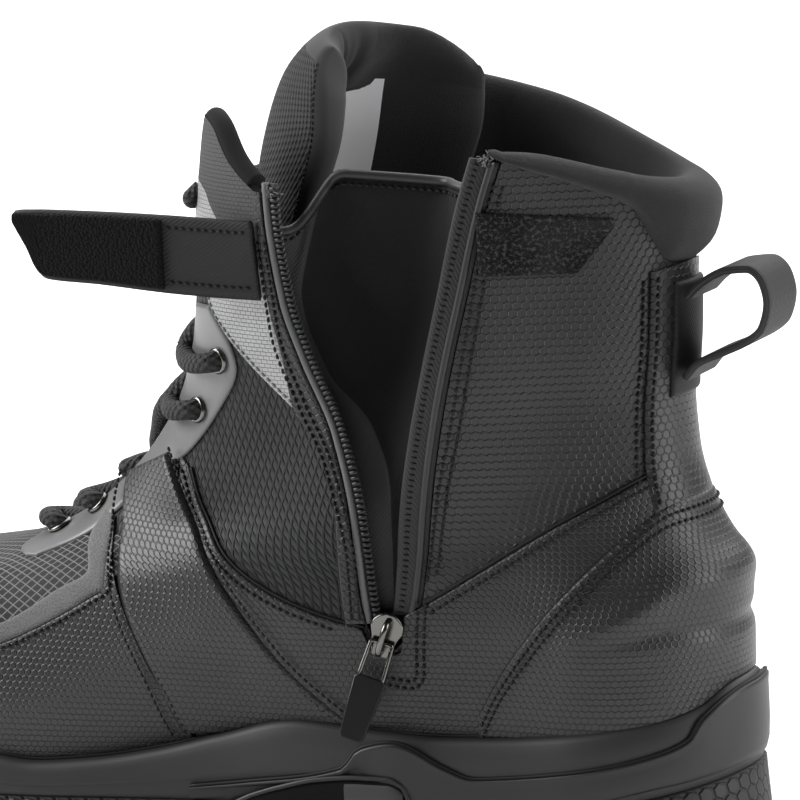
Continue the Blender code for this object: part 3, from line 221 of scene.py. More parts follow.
# Pull: its flap and the wire frame that it hangs in, across and up from the bridge; its lean, in degrees.
PULL_FLAP = [
    (-4.4, -10.0), (-3.4, -9.2), (3.4, -9.2), (4.4, -10.0), (3.4, -26.0), (2.6, -27.0), (-2.6, -27.0),
    (-3.4, -26.0)]
PULL_FRAME = np.array([
    (-3.0, 0.0), (-2.6, 0.35), (2.6, 0.35), (3.0, 0.0), (3.4, -9.5), (3.0, -9.9), (-3.0, -9.9),
    (-3.4, -9.5), (-3.0, 0.0)])
PULL_LEAN = 14
# Sections of the sole, each row a height and a distance out. A rim is counted from its top, a side by its
# share of the height, and a foot from its lower edge.
MIDSOLE_RIM = ((0.2, 1.8), (-0.5, 3.0), (-1.6, 4.0))
MIDSOLE_SIDE = ((0.75, 4.5), (0.62, 4.6), (0.52, 4.9), (0.47, 5.0), (0.42, 4.7), (0.3, 4.3), (0.15, 4.2))
MIDSOLE_FOOT = ((0.4, 4.2), (0.0, 3.6))
OUTSOLE_RIM = ((0.2, 3.4), (0.0, 4.6), (-0.6, 5.0))
OUTSOLE_SIDE = ((0.75, 5.4), (0.5, 5.9), (0.25, 6.4), (0.12, 6.7))
OUTSOLE_FOOT = ((0.3, 6.0), (0.0, 5.0), (0.0, -8.0))
CLIP_SIDE = (
    (0.0, 4.0), (0.03, 5.2), (0.15, 5.8), (0.4, 6.0), (0.7, 5.9), (0.86, 5.8), (0.93, 5.9), (0.97, 5.9),
    (1.0, 5.4), (1.01, 4.0))
ARCH_SIDE = ((0.0, 5.6), (0.1, 6.2), (0.8, 6.2), (0.9, 6.1), (1.0, 5.0))
BADGE_SIDE = ((0.0, 6.2), (0.08, 6.8), (0.92, 6.8), (1.0, 6.2))
# Stations of the badge, and heights of the lower edges of inset and badge.
BADGE_SPAN = (87.5, 104.0)
ARCH_FOOT = 11.0
BADGE_FOOT = 10.0
# Zip tapes: name, column of the zip table, side of the zip, level of the cut top.
TAPES = (("front", 1, 1, 0.94), ("rear", 2, -1, 0.99))
TAPE_REACH = 0.96
# Cut tape ends that fray: level, column of the zip table, inset.
FRAY_ENDS = ((0.93, 1, 0.3), (0.99, 2, -0.4))
FRAY_COUNT = 40


# The last as a surface

def smooth(knots, values, at):
    """Curve through the knots that never overshoots: cubic pieces, with the mean slope where both sides
    agree."""
    knots = np.asarray(knots, float)
    values = np.asarray(values, float).reshape(len(knots), -1)
    at = np.clip(np.asarray(at, float), knots[0], knots[-1])
    step = np.diff(knots)[:, None]
    rise = np.diff(values, axis=0) / step
    slope = np.zeros_like(values)
    both = rise[:-1] * rise[1:]
    slope[1:-1] = np.where(both > 0, 2 * both / np.where(both > 0, rise[:-1] + rise[1:], 1), 0)
    slope[0], slope[-1] = rise[0], rise[-1]
    flat = at.ravel()
    i = np.clip(np.searchsorted(knots, flat, "right") - 1, 0, len(knots) - 2)
    h = step[i]
    s = ((flat - knots[i])[:, None]) / h
    out = (
        values[i] * (1 + 2 * s) * (1 - s) ** 2
        + slope[i] * h * s * (1 - s) ** 2
        + values[i + 1] * s**2 * (3 - 2 * s)
        + slope[i + 1] * h * s**2 * (s - 1)
    )
    return out.reshape(at.shape + (-1,))


def by(table, at, column=1):
    """One column of a table as a smooth function of its first column."""
    return smooth(table[:, 0], table[:, column], at)[..., 0]


def run(table, share):
    """Rows of a table as a smooth function of the share of the way through it."""
    return smooth(np.linspace(0, 1, len(table)), table, share)


def surface(around, level):
    """Outer skin: a straight line in side view from back to front at each level, its half width eased from
    heel to waist to ball and rounded off at both ends, with the toe swung to the inner side."""
    around, level = np.broadcast_arrays(np.asarray(around, float), np.asarray(level, float))
    around = (around + 1) % 2 - 1
    row = smooth(LAST[:, 0], LAST[:, 1:], level)
    back, back_z, front, front_z = (row[..., k] for k in range(4))
    heel_cap, toe_cap, dip, bow = (row[..., k] for k in range(10, 14))
    share = (1 - np.cos(np.pi * np.abs(around))) / 2
    widths = np.where(around[..., None] >= 0, row[..., 4:7], row[..., 7:10])
    columns = (widths[..., 0], widths[..., 0], widths[..., 1], widths[..., 2], widths[..., 2])
    half = columns[0]
    for k in range(1, len(WIDTH_SHARES)):
        s = np.clip((share - WIDTH_SHARES[k - 1]) / (WIDTH_SHARES[k] - WIDTH_SHARES[k - 1]), 0, 1)
        half = half + (columns[k] - columns[k - 1]) * s * s * (3 - 2 * s)
    heel = np.clip(1 - share / heel_cap, 0, 1)
    toe = np.clip((share - 1 + toe_cap) / toe_cap, 0, 1)
    half = half * np.sqrt(np.maximum(1 - heel**2, 0)) * np.maximum(1 - toe**2.1, 0) ** (1 / 2.1)
    station = back + share * (front - back)
    height = back_z + share * (front_z - back_z)
    bow = bow * np.where(around < 0, OUTER_BOW, 1.0)
    height = height - dip * np.exp(-(((share - 0.68) / 0.17) ** 2)) + bow * np.sin(np.pi * share)
    return np.stack([HEEL_REST - station, -np.sign(around) * half - toe_swing(station), height], -1)


def toe_swing(station):
    """How far the last bends to the inner side: nothing up to its middle, then the square of the way to the
    toe."""
    return TOE_SWING * np.clip((station - 150) / 150, 0, 1) ** 2


def unit(v):
    """Vectors divided by their lengths."""
    return v / np.maximum(np.linalg.norm(v, axis=-1, keepdims=True), 1e-9)


def normal_at(around, level):
    """Outward normal of the skin."""
    d = 1e-3
    level = np.asarray(level, float)
    up = surface(around, np.clip(level + d, 0, 1)) - surface(around, np.clip(level - d, 0, 1))
    along = surface(np.asarray(around) + d, level) - surface(np.asarray(around) - d, level)
    return unit(np.cross(up, along))


def skin(around, level, lift=0.0):
    """The outer skin moved along its normal by lift."""
    around, level, lift = np.broadcast_arrays(*(np.asarray(v, float) for v in (around, level, lift)))
    return surface(around, level) + lift[..., None] * normal_at(around, level)


def bisect(wrong, low, high):
    """Where a rising function of one number crosses zero, for whole arrays at once."""
    for _ in range(32):
        middle = (low + high) / 2
        over = wrong(middle) > 0
        low, high = np.where(over, low, middle), np.where(over, middle, high)
    return (low + high) / 2


def around_at(station, level, side=1):
    """Distance around, on one side, at which a section passes a station."""
    station, level = np.broadcast_arrays(np.asarray(station, float), np.asarray(level, float))
    row = smooth(LAST[:, 0], LAST[:, (1, 3)], level)
    share = np.clip((station - row[..., 0]) / (row[..., 1] - row[..., 0]), 0, 1)
    return side * np.arccos(1 - 2 * share) / np.pi


def on_side(station, height, side=1):
    """Around and level of a point given by its station and height, kept clear of the throat."""
    station, height = np.broadcast_arrays(np.asarray(station, float), np.asarray(height, float))

    def wrong(level):
        return surface(around_at(station, level), level)[..., 2] - height

    level = bisect(wrong, np.zeros(station.shape), np.ones(station.shape))
    edge = np.abs(throat_around(level, side)) - THROAT_CLEAR
    return side * np.minimum(around_at(station, level), edge), level


def level_of_line(around, table, column=1, shift=0.0):
    """Level at which the skin, going up at this distance around, meets a line given by station and
    height."""
    around = np.asarray(around, float)

    def wrong(level):
        point = surface(around, level)
        return point[..., 2] - by(table, HEEL_REST - point[..., 0], column) - shift

    return bisect(wrong, np.zeros(around.shape), np.ones(around.shape))


def zip_around(level, column, inset):
    """Distance around of a zip edge at each level: the tape's free edge moved by a share of the tape's
    width."""
    level = np.asarray(level, float)
    station = np.full(level.shape, 90.0)
    for _ in range(25):
        height = surface(around_at(station, level), level)[..., 2]
        station = by(ZIP, height, column) + inset * by(ZIP, height, column + 2)
    return around_at(station, level)


def throat_around(level, side):
    """Distance around of the throat's edge, where the skin's half width comes down to the throat's."""
    level = np.asarray(level, float)
    gap = by(THROAT, level, 1 if side > 0 else 2)

    def wrong(around):
        point = surface(side * around, level)
        return gap - np.abs(point[..., 1] + toe_swing(HEEL_REST - point[..., 0]))

    return side * bisect(wrong, np.full(level.shape, 0.5), np.ones(level.shape))


CHART_COLUMNS = 400
CHART_ROWS = 160
chart_points = surface(
    np.linspace(-1, 1, CHART_COLUMNS + 1)[None, :], np.linspace(0, 1, CHART_ROWS + 1)[:, None])
chart_steps = np.diff(chart_points, axis=1, prepend=chart_points[:, :1])
chart_run = np.cumsum(np.linalg.norm(chart_steps, axis=-1), axis=1)
chart_run -= chart_run[:, CHART_COLUMNS // 2, None]


def chart(around, level):
    """Place of a skin point on flat cloth: its run along its section from the back, and its height."""
    around, level = np.broadcast_arrays(np.asarray(around, float), np.asarray(level, float))
    x = np.clip(((around + 1) % 2) / 2 * CHART_COLUMNS, 0, CHART_COLUMNS - 0.001)
    y = np.clip(level * CHART_ROWS, 0, CHART_ROWS - 0.001)
    i, j = y.astype(int), x.astype(int)
    fy, fx = y - i, x - j
    low = chart_run[i, j] * (1 - fx) + chart_run[i, j + 1] * fx
    high = chart_run[i + 1, j] * (1 - fx) + chart_run[i + 1, j + 1] * fx
    return np.stack([low * (1 - fy) + high * fy, surface(around, level)[..., 2]], -1)


# Meshes

def quads(rows, columns, wrap=False):
    """Corner numbers of a grid's faces, row by row; wrap closes each row on itself."""
    r = np.arange(rows - 1)[:, None]
    c = np.arange(columns if wrap else columns - 1)[None, :]
    after = (c + 1) % columns
    corners = (r * columns + c, r * columns + after, (r + 1) * columns + after, (r + 1) * columns + c)
    return np.stack(np.broadcast_arrays(*corners), -1).reshape(-1, 4)


def sheet(points, flat=None):
    """A grid of points as (points, faces, flat places)."""
    rows, columns = points.shape[:2]
    if flat is None:
        flat = flat_of(points)
    return points.reshape(-1, 3), quads(rows, columns), flat.reshape(-1, 2)


def flat_of(points):
    """Distances over a grid: along its rows, and along its columns."""
    run_on = np.cumsum(np.linalg.norm(np.diff(points, axis=1, prepend=points[:, :1]), axis=-1), axis=1)
    rise = np.cumsum(np.linalg.norm(np.diff(points, axis=0, prepend=points[:1]), axis=-1), axis=0)
    return np.stack([run_on, rise], -1)


def together(*parts):
    """Several (points, faces, flat places) as one."""
    start = np.cumsum([0] + [len(p[0]) for p in parts])
    faces = np.concatenate([p[1] + s for p, s in zip(parts, start)])
    return np.concatenate([p[0] for p in parts]), faces, np.concatenate([p[2] for p in parts])


def make(name, part, looks, stands_for=(), body="boot", which=None):
    """An object from (points, faces, flat places): coincident points are joined, faces that shrink to a
    line are left out, and the flat places become a UV map in mm. Which gives each face's material."""
    points, faces, flat = part
    _, first, index = np.unique(np.round(points, 3), axis=0, return_index=True, return_inverse=True)
    corners = index.reshape(-1)[faces]
    keep = corners != np.roll(corners, -1, axis=1)
    whole = keep.sum(1) > 2
    corners, keep, faces = corners[whole], keep[whole], faces[whole]
    mesh = bpy.data.meshes.new(name)
    mesh.vertices.add(len(first))
    mesh.vertices.foreach_set("co", (points[first] * MM).astype(np.float32).ravel())
    mesh.loops.add(int(keep.sum()))
    mesh.loops.foreach_set("vertex_index", corners[keep].astype(np.int32))
    mesh.polygons.add(len(corners))
    mesh.polygons.foreach_set("loop_start", (np.cumsum(keep.sum(1)) - keep.sum(1)).astype(np.int32))
    layer = mesh.uv_layers.new(name="mm")
    layer.data.foreach_set("uv", flat[faces[keep]].astype(np.float32).ravel())
    for material in looks if isinstance(looks, tuple) else (looks,):
        mesh.materials.append(material)
    if which is not None:
        mesh.polygons.foreach_set("material_index", which[whole].astype(np.int32))
    mesh.update(calc_edges=True)
    mesh.validate()
    mesh.shade_smooth()
    made = bpy.data.objects.new(name, mesh)
    bpy.context.collection.objects.link(made)
    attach(made, body)
    if stands_for:
        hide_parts(*stands_for)
    return made


def eased_ends(count, length, width):
    """Shares from 0 to 1, close together within a width of both ends."""
    edge = np.array([0.0, 0.02, 0.15, 0.4, 0.7, 1.0]) * width / length
    return np.concatenate([edge, np.linspace(edge[-1], 1 - edge[-1], count)[1:-1], 1 - edge[::-1]])


def pillow(where, size, counts, height, base=0.0, edges=(1, 1, 1, 1), width=1.4, relief=None):
    """A panel laid on the skin: where(u, v) gives around and level, and the lift follows a quarter circle
    up from each edge that edges names (u low, u high, v low, v high), so that the panel's rim is round."""
    across, along = (eased_ends(counts[k], size[k], width) for k in (0, 1))
    u, v = np.meshgrid(across, along, indexing="ij")
    far = np.full(u.shape, 1e3)
    for on, distance in zip(edges, (u * size[0], (1 - u) * size[0], v * size[1], (1 - v) * size[1])):
        if on:
            far = np.minimum(far, distance)
    inner = np.clip(far / width, 0, 1)
    lift = base + height * np.sqrt(1 - (1 - inner) ** 2) - 0.25 * (far <= 0)
    around, level = where(u, v)
    if relief is not None:
        lift = lift + relief(around, level) * inner
    return sheet(skin(around, level, lift), chart(around, level))


def tube(path, radius, sides=12, flat_up=None, caps=True):
    """A round profile carried along a path; radius may change along it, and the ends close to points."""
    along = unit(np.gradient(path, axis=0))
    hint = np.array([0.0, 0.0, 1.0]) if flat_up is None else flat_up
    side = unit(np.cross(along, np.broadcast_to(hint, along.shape)))
    up = np.cross(side, along)
    radius = np.broadcast_to(np.asarray(radius, float), len(path)).copy()
    if caps:
        path = np.concatenate([path[:1], path, path[-1:]])
        side, up = (np.concatenate([a[:1], a, a[-1:]]) for a in (side, up))
        radius = np.concatenate([[0.0], radius, [0.0]])
    angle = np.linspace(0, 2 * np.pi, sides + 1)
    ring = np.cos(angle)[None, :, None] * side[:, None] + np.sin(angle)[None, :, None] * up[:, None]
    points = path[:, None] + ring * radius[:, None, None]
    run_on = np.concatenate([[0], np.cumsum(np.linalg.norm(np.diff(path, axis=0), axis=1))])
    flat = np.stack(np.broadcast_arrays(run_on[:, None], angle[None, :] * radius.max()), -1)
    return sheet(points, flat)


def copies(shape, centre, along, up):
    """Copies of a small (points, faces) shape, its x along the path and its z along up, at every centre."""
    points, faces = shape
    side = np.cross(up, along)
    placed = centre[:, None] + (
        points[None, :, :1] * along[:, None]
        + points[None, :, 1:2] * side[:, None]
        + points[None, :, 2:] * up[:, None])
    count = len(points)
    all_faces = (faces[None] + (np.arange(len(centre)) * count)[:, None, None]).reshape(-1, faces.shape[1])
    return placed.reshape(-1, 3), all_faces, np.tile(points[:, :2], (len(centre), 1))


def spaced(path, up, pitch):
    """Points, directions and normals at even steps along a path."""
    run_on = np.concatenate([[0], np.cumsum(np.linalg.norm(np.diff(path, axis=0), axis=1))])
    at = np.arange(pitch / 2, run_on[-1], pitch)
    put = []
    for values in (path, np.gradient(path, axis=0), up):
        put.append(np.stack([np.interp(at, run_on, values[:, k]) for k in range(3)], -1))
    along = unit(put[1])
    normal = unit(put[2] - along * (put[2] * along).sum(-1, keepdims=True))
    return put[0], along, normal


def crossed(path, up, pitch):
    """As spaced, with the directions turned across the path."""
    centre, along, normal = spaced(path, up, pitch)
    return centre, np.cross(normal, along), normal


def rod(length, radius):
    """A stitch: a short six-sided rod with round ends, bowed so that both ends dip into the cloth."""
    sides = 6
    s = np.array([-0.5, -0.42, -0.2, 0.2, 0.42, 0.5])
    thick = np.array([0.15, 0.7, 1.0, 1.0, 0.7, 0.15])
    angle = np.linspace(0, 2 * np.pi, sides, endpoint=False)
    x = np.broadcast_to(s[:, None] * length, (len(s), sides))
    y = np.cos(angle)[None] * thick[:, None] * radius
    z = np.sin(angle)[None] * thick[:, None] * radius + (0.25 - 5.0 * s[:, None] ** 4 * 1.6) * radius
    return np.stack([x, y, z], -1).reshape(-1, 3), quads(len(s), sides, wrap=True)


def box_shape(length, width, height):
    """A small block with its upper rim drawn in."""
    ring = np.array([(-1, -1), (1, -1), (1, 1), (-1, 1)]) * (length / 2, width / 2)
    layers = []
    for share, rise in ((1.0, 0.0), (1.0, 0.6), (0.7, 1.0), (0.0, 1.0)):
        layers.append(np.column_stack([ring * share, np.full(4, rise * height)]))
    return np.concatenate(layers), quads(len(layers), 4, wrap=True)


def row_on_skin(around, level, lift):
    """A path on the skin, moved out by lift, and its normals."""
    return skin(around, level, lift), normal_at(around, level)


def stitched(rows, pitch=STITCH_PITCH, radius=THREAD_RADIUS):
    """Stitches along several rows, each a path and its normals."""
    shape = rod(pitch * 0.74, radius)
    return together(*[copies(shape, *spaced(path, up, pitch)) for path, up in rows])


def slab(centre, up, half):
    """A sheet of cloth with thickness: its outer face, a round edge, its inner face, a round edge, closed
    at both ends. Centre and up are grids of points and normals, half is half the thickness."""
    half = np.broadcast_to(np.asarray(half, float), centre.shape[:2])[..., None]
    edge_out = unit(centre[:, -1] - centre[:, -2])[:, None] * half[:, -1:]
    edge_in = unit(centre[:, 0] - centre[:, 1])[:, None] * half[:, :1]
    ring = np.concatenate([
        centre + up * half, centre[:, -1:] + edge_out, (centre - up * half)[:, ::-1], centre[:, :1] + edge_in,
        (centre + up * half)[:, :1]], axis=1)
    middle = np.concatenate([centre, centre[:, -1:], centre[:, ::-1], centre[:, :1], centre[:, :1]], axis=1)
    ring = np.concatenate([middle[:1], ring, middle[-1:]])
    return sheet(ring)


# Materials

def linear(code):
    """An sRGB hex colour as linear red, green, blue and alpha."""
    v = np.array([int(code[k:k + 2], 16) for k in (1, 3, 5)]) / 255
    return (*np.where(v <= 0.04045, v / 12.92, ((v + 0.055) / 1.055) ** 2.4).tolist(), 1.0)


def add(tree, kind, inputs=(), **settings):
    """One node with its settings; inputs are values, sockets or nodes, by position or by socket name."""
    made = tree.nodes.new("ShaderNode" + kind)
    for name, value in settings.items():
        setattr(made, name, value)
    pairs = inputs.items() if isinstance(inputs, dict) else enumerate(inputs)
    for key, value in pairs:
        if isinstance(value, bpy.types.Node):
            value = value.outputs[0]
        if isinstance(value, bpy.types.NodeSocket):
            tree.links.new(value, made.inputs[key])
        elif value is not None:
            made.inputs[key].default_value = value
    return made


def hexagons(tree, place, size):
    """Distance from the middle of a six-sided cell, 0 there and 0.5 at its edge: two lattices of cell
    middles, half a cell apart, and the nearer of the two."""
    at = add(tree, "VectorMath", (place, (1 / size, 1 / size, 0)), operation="MULTIPLY")
    half = (0.5, 0.8660254, 1.0)
    minus = (-0.5, -0.8660254, -1.0)
    shifted = add(tree, "VectorMath", (at, half), operation="ADD")
    found = []
    for lattice in (at, shifted):
        cell = add(tree, "VectorMath", (lattice, half, minus), operation="WRAP")
        cell = add(tree, "VectorMath", (cell,), operation="ABSOLUTE")
        slant = add(tree, "VectorMath", (cell, (0.5, 0.8660254, 0)), operation="DOT_PRODUCT").outputs["Value"]
        flank = add(tree, "SeparateXYZ", (cell,))
        found.append(add(tree, "Math", (slant, flank.outputs["X"]), operation="MAXIMUM"))
    return add(tree, "Math", found, operation="MINIMUM")


def lines(tree, place, across, up, pitch):
    """Distance from the nearest of many straight lines, 0 on a line and 0.5 between two; across and up say
    which way the lines are counted."""
    way = (across / pitch, up / pitch, 0)
    count = add(tree, "VectorMath", (place, way), operation="DOT_PRODUCT").outputs["Value"]
    turn = add(tree, "Math", (count, 0.5, -0.5), operation="WRAP")
    return add(tree, "Math", (turn,), operation="ABSOLUTE")


def ramp(tree, value, low, high):
    """A value eased from 0 to 1 as it goes from low to high."""
    return add(tree, "MapRange", (value, low, high, 0.0, 1.0), interpolation_type="SMOOTHSTEP")


def look(name, colour, roughness, relief=None, depth=0.0, second=None, grain=(0.5, 0.12), metallic=0.0,
         sheen=0.0, specular=0.5, cloudy=0.25):
    """A material: its colour, a relief(tree, place) of 0 to 1 that is depth mm deep, a second colour where
    the relief is low, a fine grain of a size in mm that also varies the gloss, and a share of patches two
    centimetres wide."""
    made = bpy.data.materials.new(name)
    made.use_nodes = True
    tree = made.node_tree
    bsdf = tree.nodes["Principled BSDF"]
    bsdf.inputs["Metallic"].default_value = metallic
    bsdf.inputs["Base Color"].default_value = linear(colour)
    bsdf.inputs["Sheen Weight"].default_value = sheen
    bsdf.inputs["Specular IOR Level"].default_value = specular
    place = add(tree, "UVMap", uv_map="mm")
    size, amount = grain
    noise = add(tree, "TexNoise", {"Vector": place, "Scale": 1 / size, "Detail": 3.0, "Roughness": 0.6})
    cloud = add(tree, "TexNoise", {"Vector": place, "Scale": 0.05, "Detail": 2.0})
    gloss = add(tree, "Math", (noise, amount, roughness - amount / 2), operation="MULTIPLY_ADD")
    tree.links.new(gloss.outputs[0], bsdf.inputs["Roughness"])
    height = add(tree, "Math", (noise, amount * 0.5), operation="MULTIPLY")
    shade = ramp(tree, cloud, 0.3, 0.7)
    if relief is not None:
        form = relief(tree, place)
        height = add(tree, "Math", (form, 1.0, height), operation="MULTIPLY_ADD")
        patches = add(tree, "Math", (shade, cloudy), operation="MULTIPLY")
        shade = add(tree, "Math", (form, 1 - cloudy, patches), operation="MULTIPLY_ADD")
    tint = add(tree, "MixRGB", (shade, linear(second or colour), linear(colour)))
    tree.links.new(tint.outputs[0], bsdf.inputs["Base Color"])
    bump = add(tree, "Bump", {"Strength": 1.0, "Distance": max(depth, 0.06) * MM, "Height": height})
    tree.links.new(bump.outputs[0], bsdf.inputs["Normal"])
    return made


def hex_relief(tree, place):
    """Embossed six-sided pads with a narrow groove round each."""
    return ramp(tree, hexagons(tree, place, HEX_CELL), 0.5, 0.38)


def fine_hex_relief(tree, place):
    """The same pads, smaller and with softer grooves."""
    return ramp(tree, hexagons(tree, place, FINE_HEX_CELL), 0.5, 0.34)


def diamond_relief(tree, place):
    """Crossed slanting cords with upright diamonds between them."""
    one = lines(tree, place, 0.87, -0.50, 2.1)
    two = lines(tree, place, 0.93, 0.37, 2.3)
    return ramp(tree, add(tree, "Math", (one, two), operation="MINIMUM"), 0.07, 0.26)


def weave_relief(tree, place):
    """Short floats of yarn in staggered rows."""
    yarn = add(tree, "TexBrick", {
        "Vector": place, "Scale": 1.0, "Mortar Size": 0.1, "Mortar Smooth": 0.8, "Brick Width": 1.9,
        "Row Height": 1.1})
    return add(tree, "Math", (1.0, yarn.outputs["Fac"]), operation="SUBTRACT")


def twill_relief(tree, place):
    """Fine slanting ribs."""
    return ramp(tree, lines(tree, place, 0.8, 0.6, 0.9), 0.0, 0.5)


def tread_relief(tree, place):
    """Large six-sided pads."""
    return ramp(tree, hexagons(tree, place, 4.6), 0.5, 0.36)


def ripstop_relief(tree, place):
    """A square grid of raised threads."""
    one = lines(tree, place, 1.0, 0.0, 2.6)
    two = lines(tree, place, 0.0, 1.0, 2.6)
    return ramp(tree, add(tree, "Math", (one, two), operation="MINIMUM"), 0.12, 0.03)


def rib_relief(tree, place):
    """Fine ribs in slanting rows."""
    one = lines(tree, place, 1.0, 0.25, 1.5)
    two = lines(tree, place, 0.25, 1.0, 2.2)
    both = add(tree, "Math", (one, two), operation="ADD")
    return ramp(tree, both, 0.1, 0.7)


def braid_relief(tree, place):
    """Strands wound both ways round the cord."""
    one = lines(tree, place, 1.0, 0.8, 2.0)
    two = lines(tree, place, 1.0, -0.8, 2.0)
    return ramp(tree, add(tree, "Math", (one, two), operation="ADD"), 0.1, 0.8)


def pile_relief(tree, place):
    """Small standing hooks or loops, as the cells of a scatter."""
    cell = add(tree, "TexVoronoi", {"Vector": place, "Scale": 1.1, "Randomness": 0.9},
               voronoi_dimensions="2D")
    return ramp(tree, cell.outputs["Distance"], 0.75, 0.1)


def loop_relief(tree, place):
    """Fine loops, a few of which catch the light."""
    noise = add(tree, "TexNoise", {"Vector": place, "Scale": 0.95, "Detail": 3.0, "Roughness": 0.8})
    return ramp(tree, noise, 0.49, 0.60)


def nap_relief(tree, place):
    """Brushed fibres: a fine uneven speckle."""
    noise = add(tree, "TexNoise", {"Vector": place, "Scale": 2.2, "Detail": 3.0, "Roughness": 0.7})
    return ramp(tree, noise, 0.34, 0.66)


def webbing_relief(tree, place):
    """Thick ribs across the band with the warp over them."""
    one = lines(tree, place, 1.0, 0.0, 1.1)
    two = lines(tree, place, 0.0, 1.0, 2.2)
    return ramp(tree, add(tree, "Math", (two, 0.3, one), operation="MULTIPLY_ADD"), 0.05, 0.6)


# Dark pads, half gloss, with painted shade in the grooves: a darker colour where the relief is low.
HEX = look("synthetic_leather_hex_embossed", "#1f1f20", 0.42, hex_relief, 0.14, "#0e0e0f")
# The same, finer and a little paler, with the same painted shade in its grooves.
FINE_HEX = look("synthetic_leather_fine_hex_embossed", "#29292a", 0.42, fine_hex_relief, 0.10, "#0d0d0e")
# Black skin with a faint grain.
PLAIN = look("synthetic_leather_smooth", "#1e1e1f", 0.5, grain=(0.8, 0.2))
# Crossed cords over holes that look black.
MESH = look("nylon_mesh_woven", "#272728", 0.62, diamond_relief, 0.5, "#030304", specular=0.4)
# Pale yarns in short dashes: a lit copy of the weave, its paleness painted light.
LIT_WEAVE = look("polyester_painted_light_weave", "#a6a6a7", 0.45, weave_relief, 0.16, "#555556", sheen=0.1)
# Dull grey dashes of yarn: a shaded copy of the same weave, its darkness painted shade.
SHADED_WEAVE = look("polyester_painted_shade_weave", "#3c3c3d", 0.7, weave_relief, 0.25, "#1e1e1f")
# Grey cloth with a faint square grid.
RIPSTOP = look("nylon_ripstop_woven", "#767677", 0.65, ripstop_relief, 0.04, "#141415", specular=0.25,
               cloudy=0.06)
# Grey nap without shine.
SUEDE = look("microfibre_suede_brushed", "#7c7c7d", 0.95, nap_relief, 0.12, "#454546", sheen=0.2)
# Even black without shine.
DARK_KNIT = look("neoprene_knit_brushed", "#151516", 0.95, grain=(0.4, 0.3), specular=0.3)
# Black with a speckle of fibres and a soft bloom.
COLLAR_KNIT = look("polyester_knit_padded", "#202021", 0.9, nap_relief, 0.14, "#111112", sheen=0.12)
# Nearly even black with a soft bloom.
KNIT = look("neoprene_knit_laminated", "#252526", 0.9, nap_relief, 0.08, "#1f1f20", sheen=0.15)
# Even dark grey with a soft bloom: a paler copy of the knit, painted light on the tongue's roll and top.
LIT_ROLL_KNIT = look("polyester_knit_painted_light", "#303031", 0.9, grain=(0.4, 0.3), sheen=0.1)
# Slanting ribs with dark furrows.
RIBBED = look("polyester_rib_knit", "#2d2d2e", 0.8, rib_relief, 0.4, "#0f0f10")
# Smooth dark cloth with ribs that barely show.
CLOTH = look("nylon_twill_woven", "#262627", 0.65, twill_relief, 0.05, "#202021")
# The same, blacker.
STRAP_CLOTH = look("nylon_strap_woven", "#171718", 0.65, twill_relief, 0.05, "#121213", specular=0.4)
# The same, darker: painted shade on the gusset cloth that lies in shade.
SHADE_CLOTH = look("nylon_twill_painted_shade", "#151516", 0.8, twill_relief, 0.04, "#101011", specular=0.3)
# Black without shine.
LINING = look("polyester_lining_brushed", "#101011", 0.95, grain=(0.5, 0.2), specular=0.2)
# Grey with a broad soft gleam.
FILM = look("polyurethane_film_welded", "#6a6a6b", 0.34, grain=(6.0, 0.16))
# A grey line beside the teeth: the cord's own grey, made paler as a painted highlight on the tape's rolled
# edge.
HIGHLIT_PIPING = look("polyester_piping_painted_highlight", "#5a5a5b", 0.6, grain=(0.4, 0.2))
# Dark cloth with fine slanting ribs.
TAPE = look("polyester_zip_tape_woven", "#2c2c2d", 0.7, twill_relief, 0.06, "#242425")
# Black with small highlights.
TEETH = look("acetal_teeth_moulded", "#0c0c0d", 0.45)
# Dull black dashes.
THREAD = look("polyester_thread_bonded", "#0b0b0c", 0.6, specular=0.3)
# Pale loose fibres.
FRAY = look("polyester_thread_frayed", "#6e6e6e", 0.8)
# Dark metal with sharp reflections.
METAL = look("zinc_gunmetal_plated", "#6c6b68", 0.22, metallic=1.0, grain=(2.0, 0.1))
# Black gloss.
DARK_METAL = look("zinc_black_lacquered", "#101011", 0.35, grain=(2.0, 0.08), specular=0.35)
# Black with thick ribs across the band.
WEBBING = look("nylon_webbing_woven", "#202021", 0.7, webbing_relief, 0.15, "#141415")
# Rough black that swallows light.
PILE = look("nylon_hook_pile", "#0c0a0a", 0.9, pile_relief, 0.3, "#030303", specular=0.2)
# Grey flecks on black: painted highlights where single loops catch the light.
LOOPS = look("nylon_loop_pile", "#4a4a4b", 0.9, loop_relief, 0.4, "#020203", specular=0.2)
# Dark strands that cross each other.
BRAID = look("polyester_cord_braided", "#262627", 0.75, braid_relief, 0.5, "#101011")
# Smooth white.
LABEL = look("satin_label_woven", "#fbfbfd", 0.6, grain=(0.4, 0.05))
# Dark grey with a fine grain.
FOAM = look("eva_foam_moulded", "#222223", 0.55, grain=(0.35, 0.12))
# Smooth black, half gloss.
SHELL = look("polyurethane_moulded", "#19191a", 0.48, grain=(0.6, 0.08))
# Smooth dark grey.
BADGE = look("polyurethane_badge_moulded", "#363637", 0.5, grain=(0.8, 0.1))
# Large pads with deep dark grooves.
RUBBER = look("rubber_vulcanised", "#202021", 0.6, tread_relief, 0.9, "#121213")


# The lasted wall

def collar_seam(around):
    """Level of the collar's seam, a little higher beside the zip."""
    return by(COLLAR_SEAM, np.abs(around)) + COLLAR_RISE * np.clip((around - 0.22) / 0.15, 0, 1)


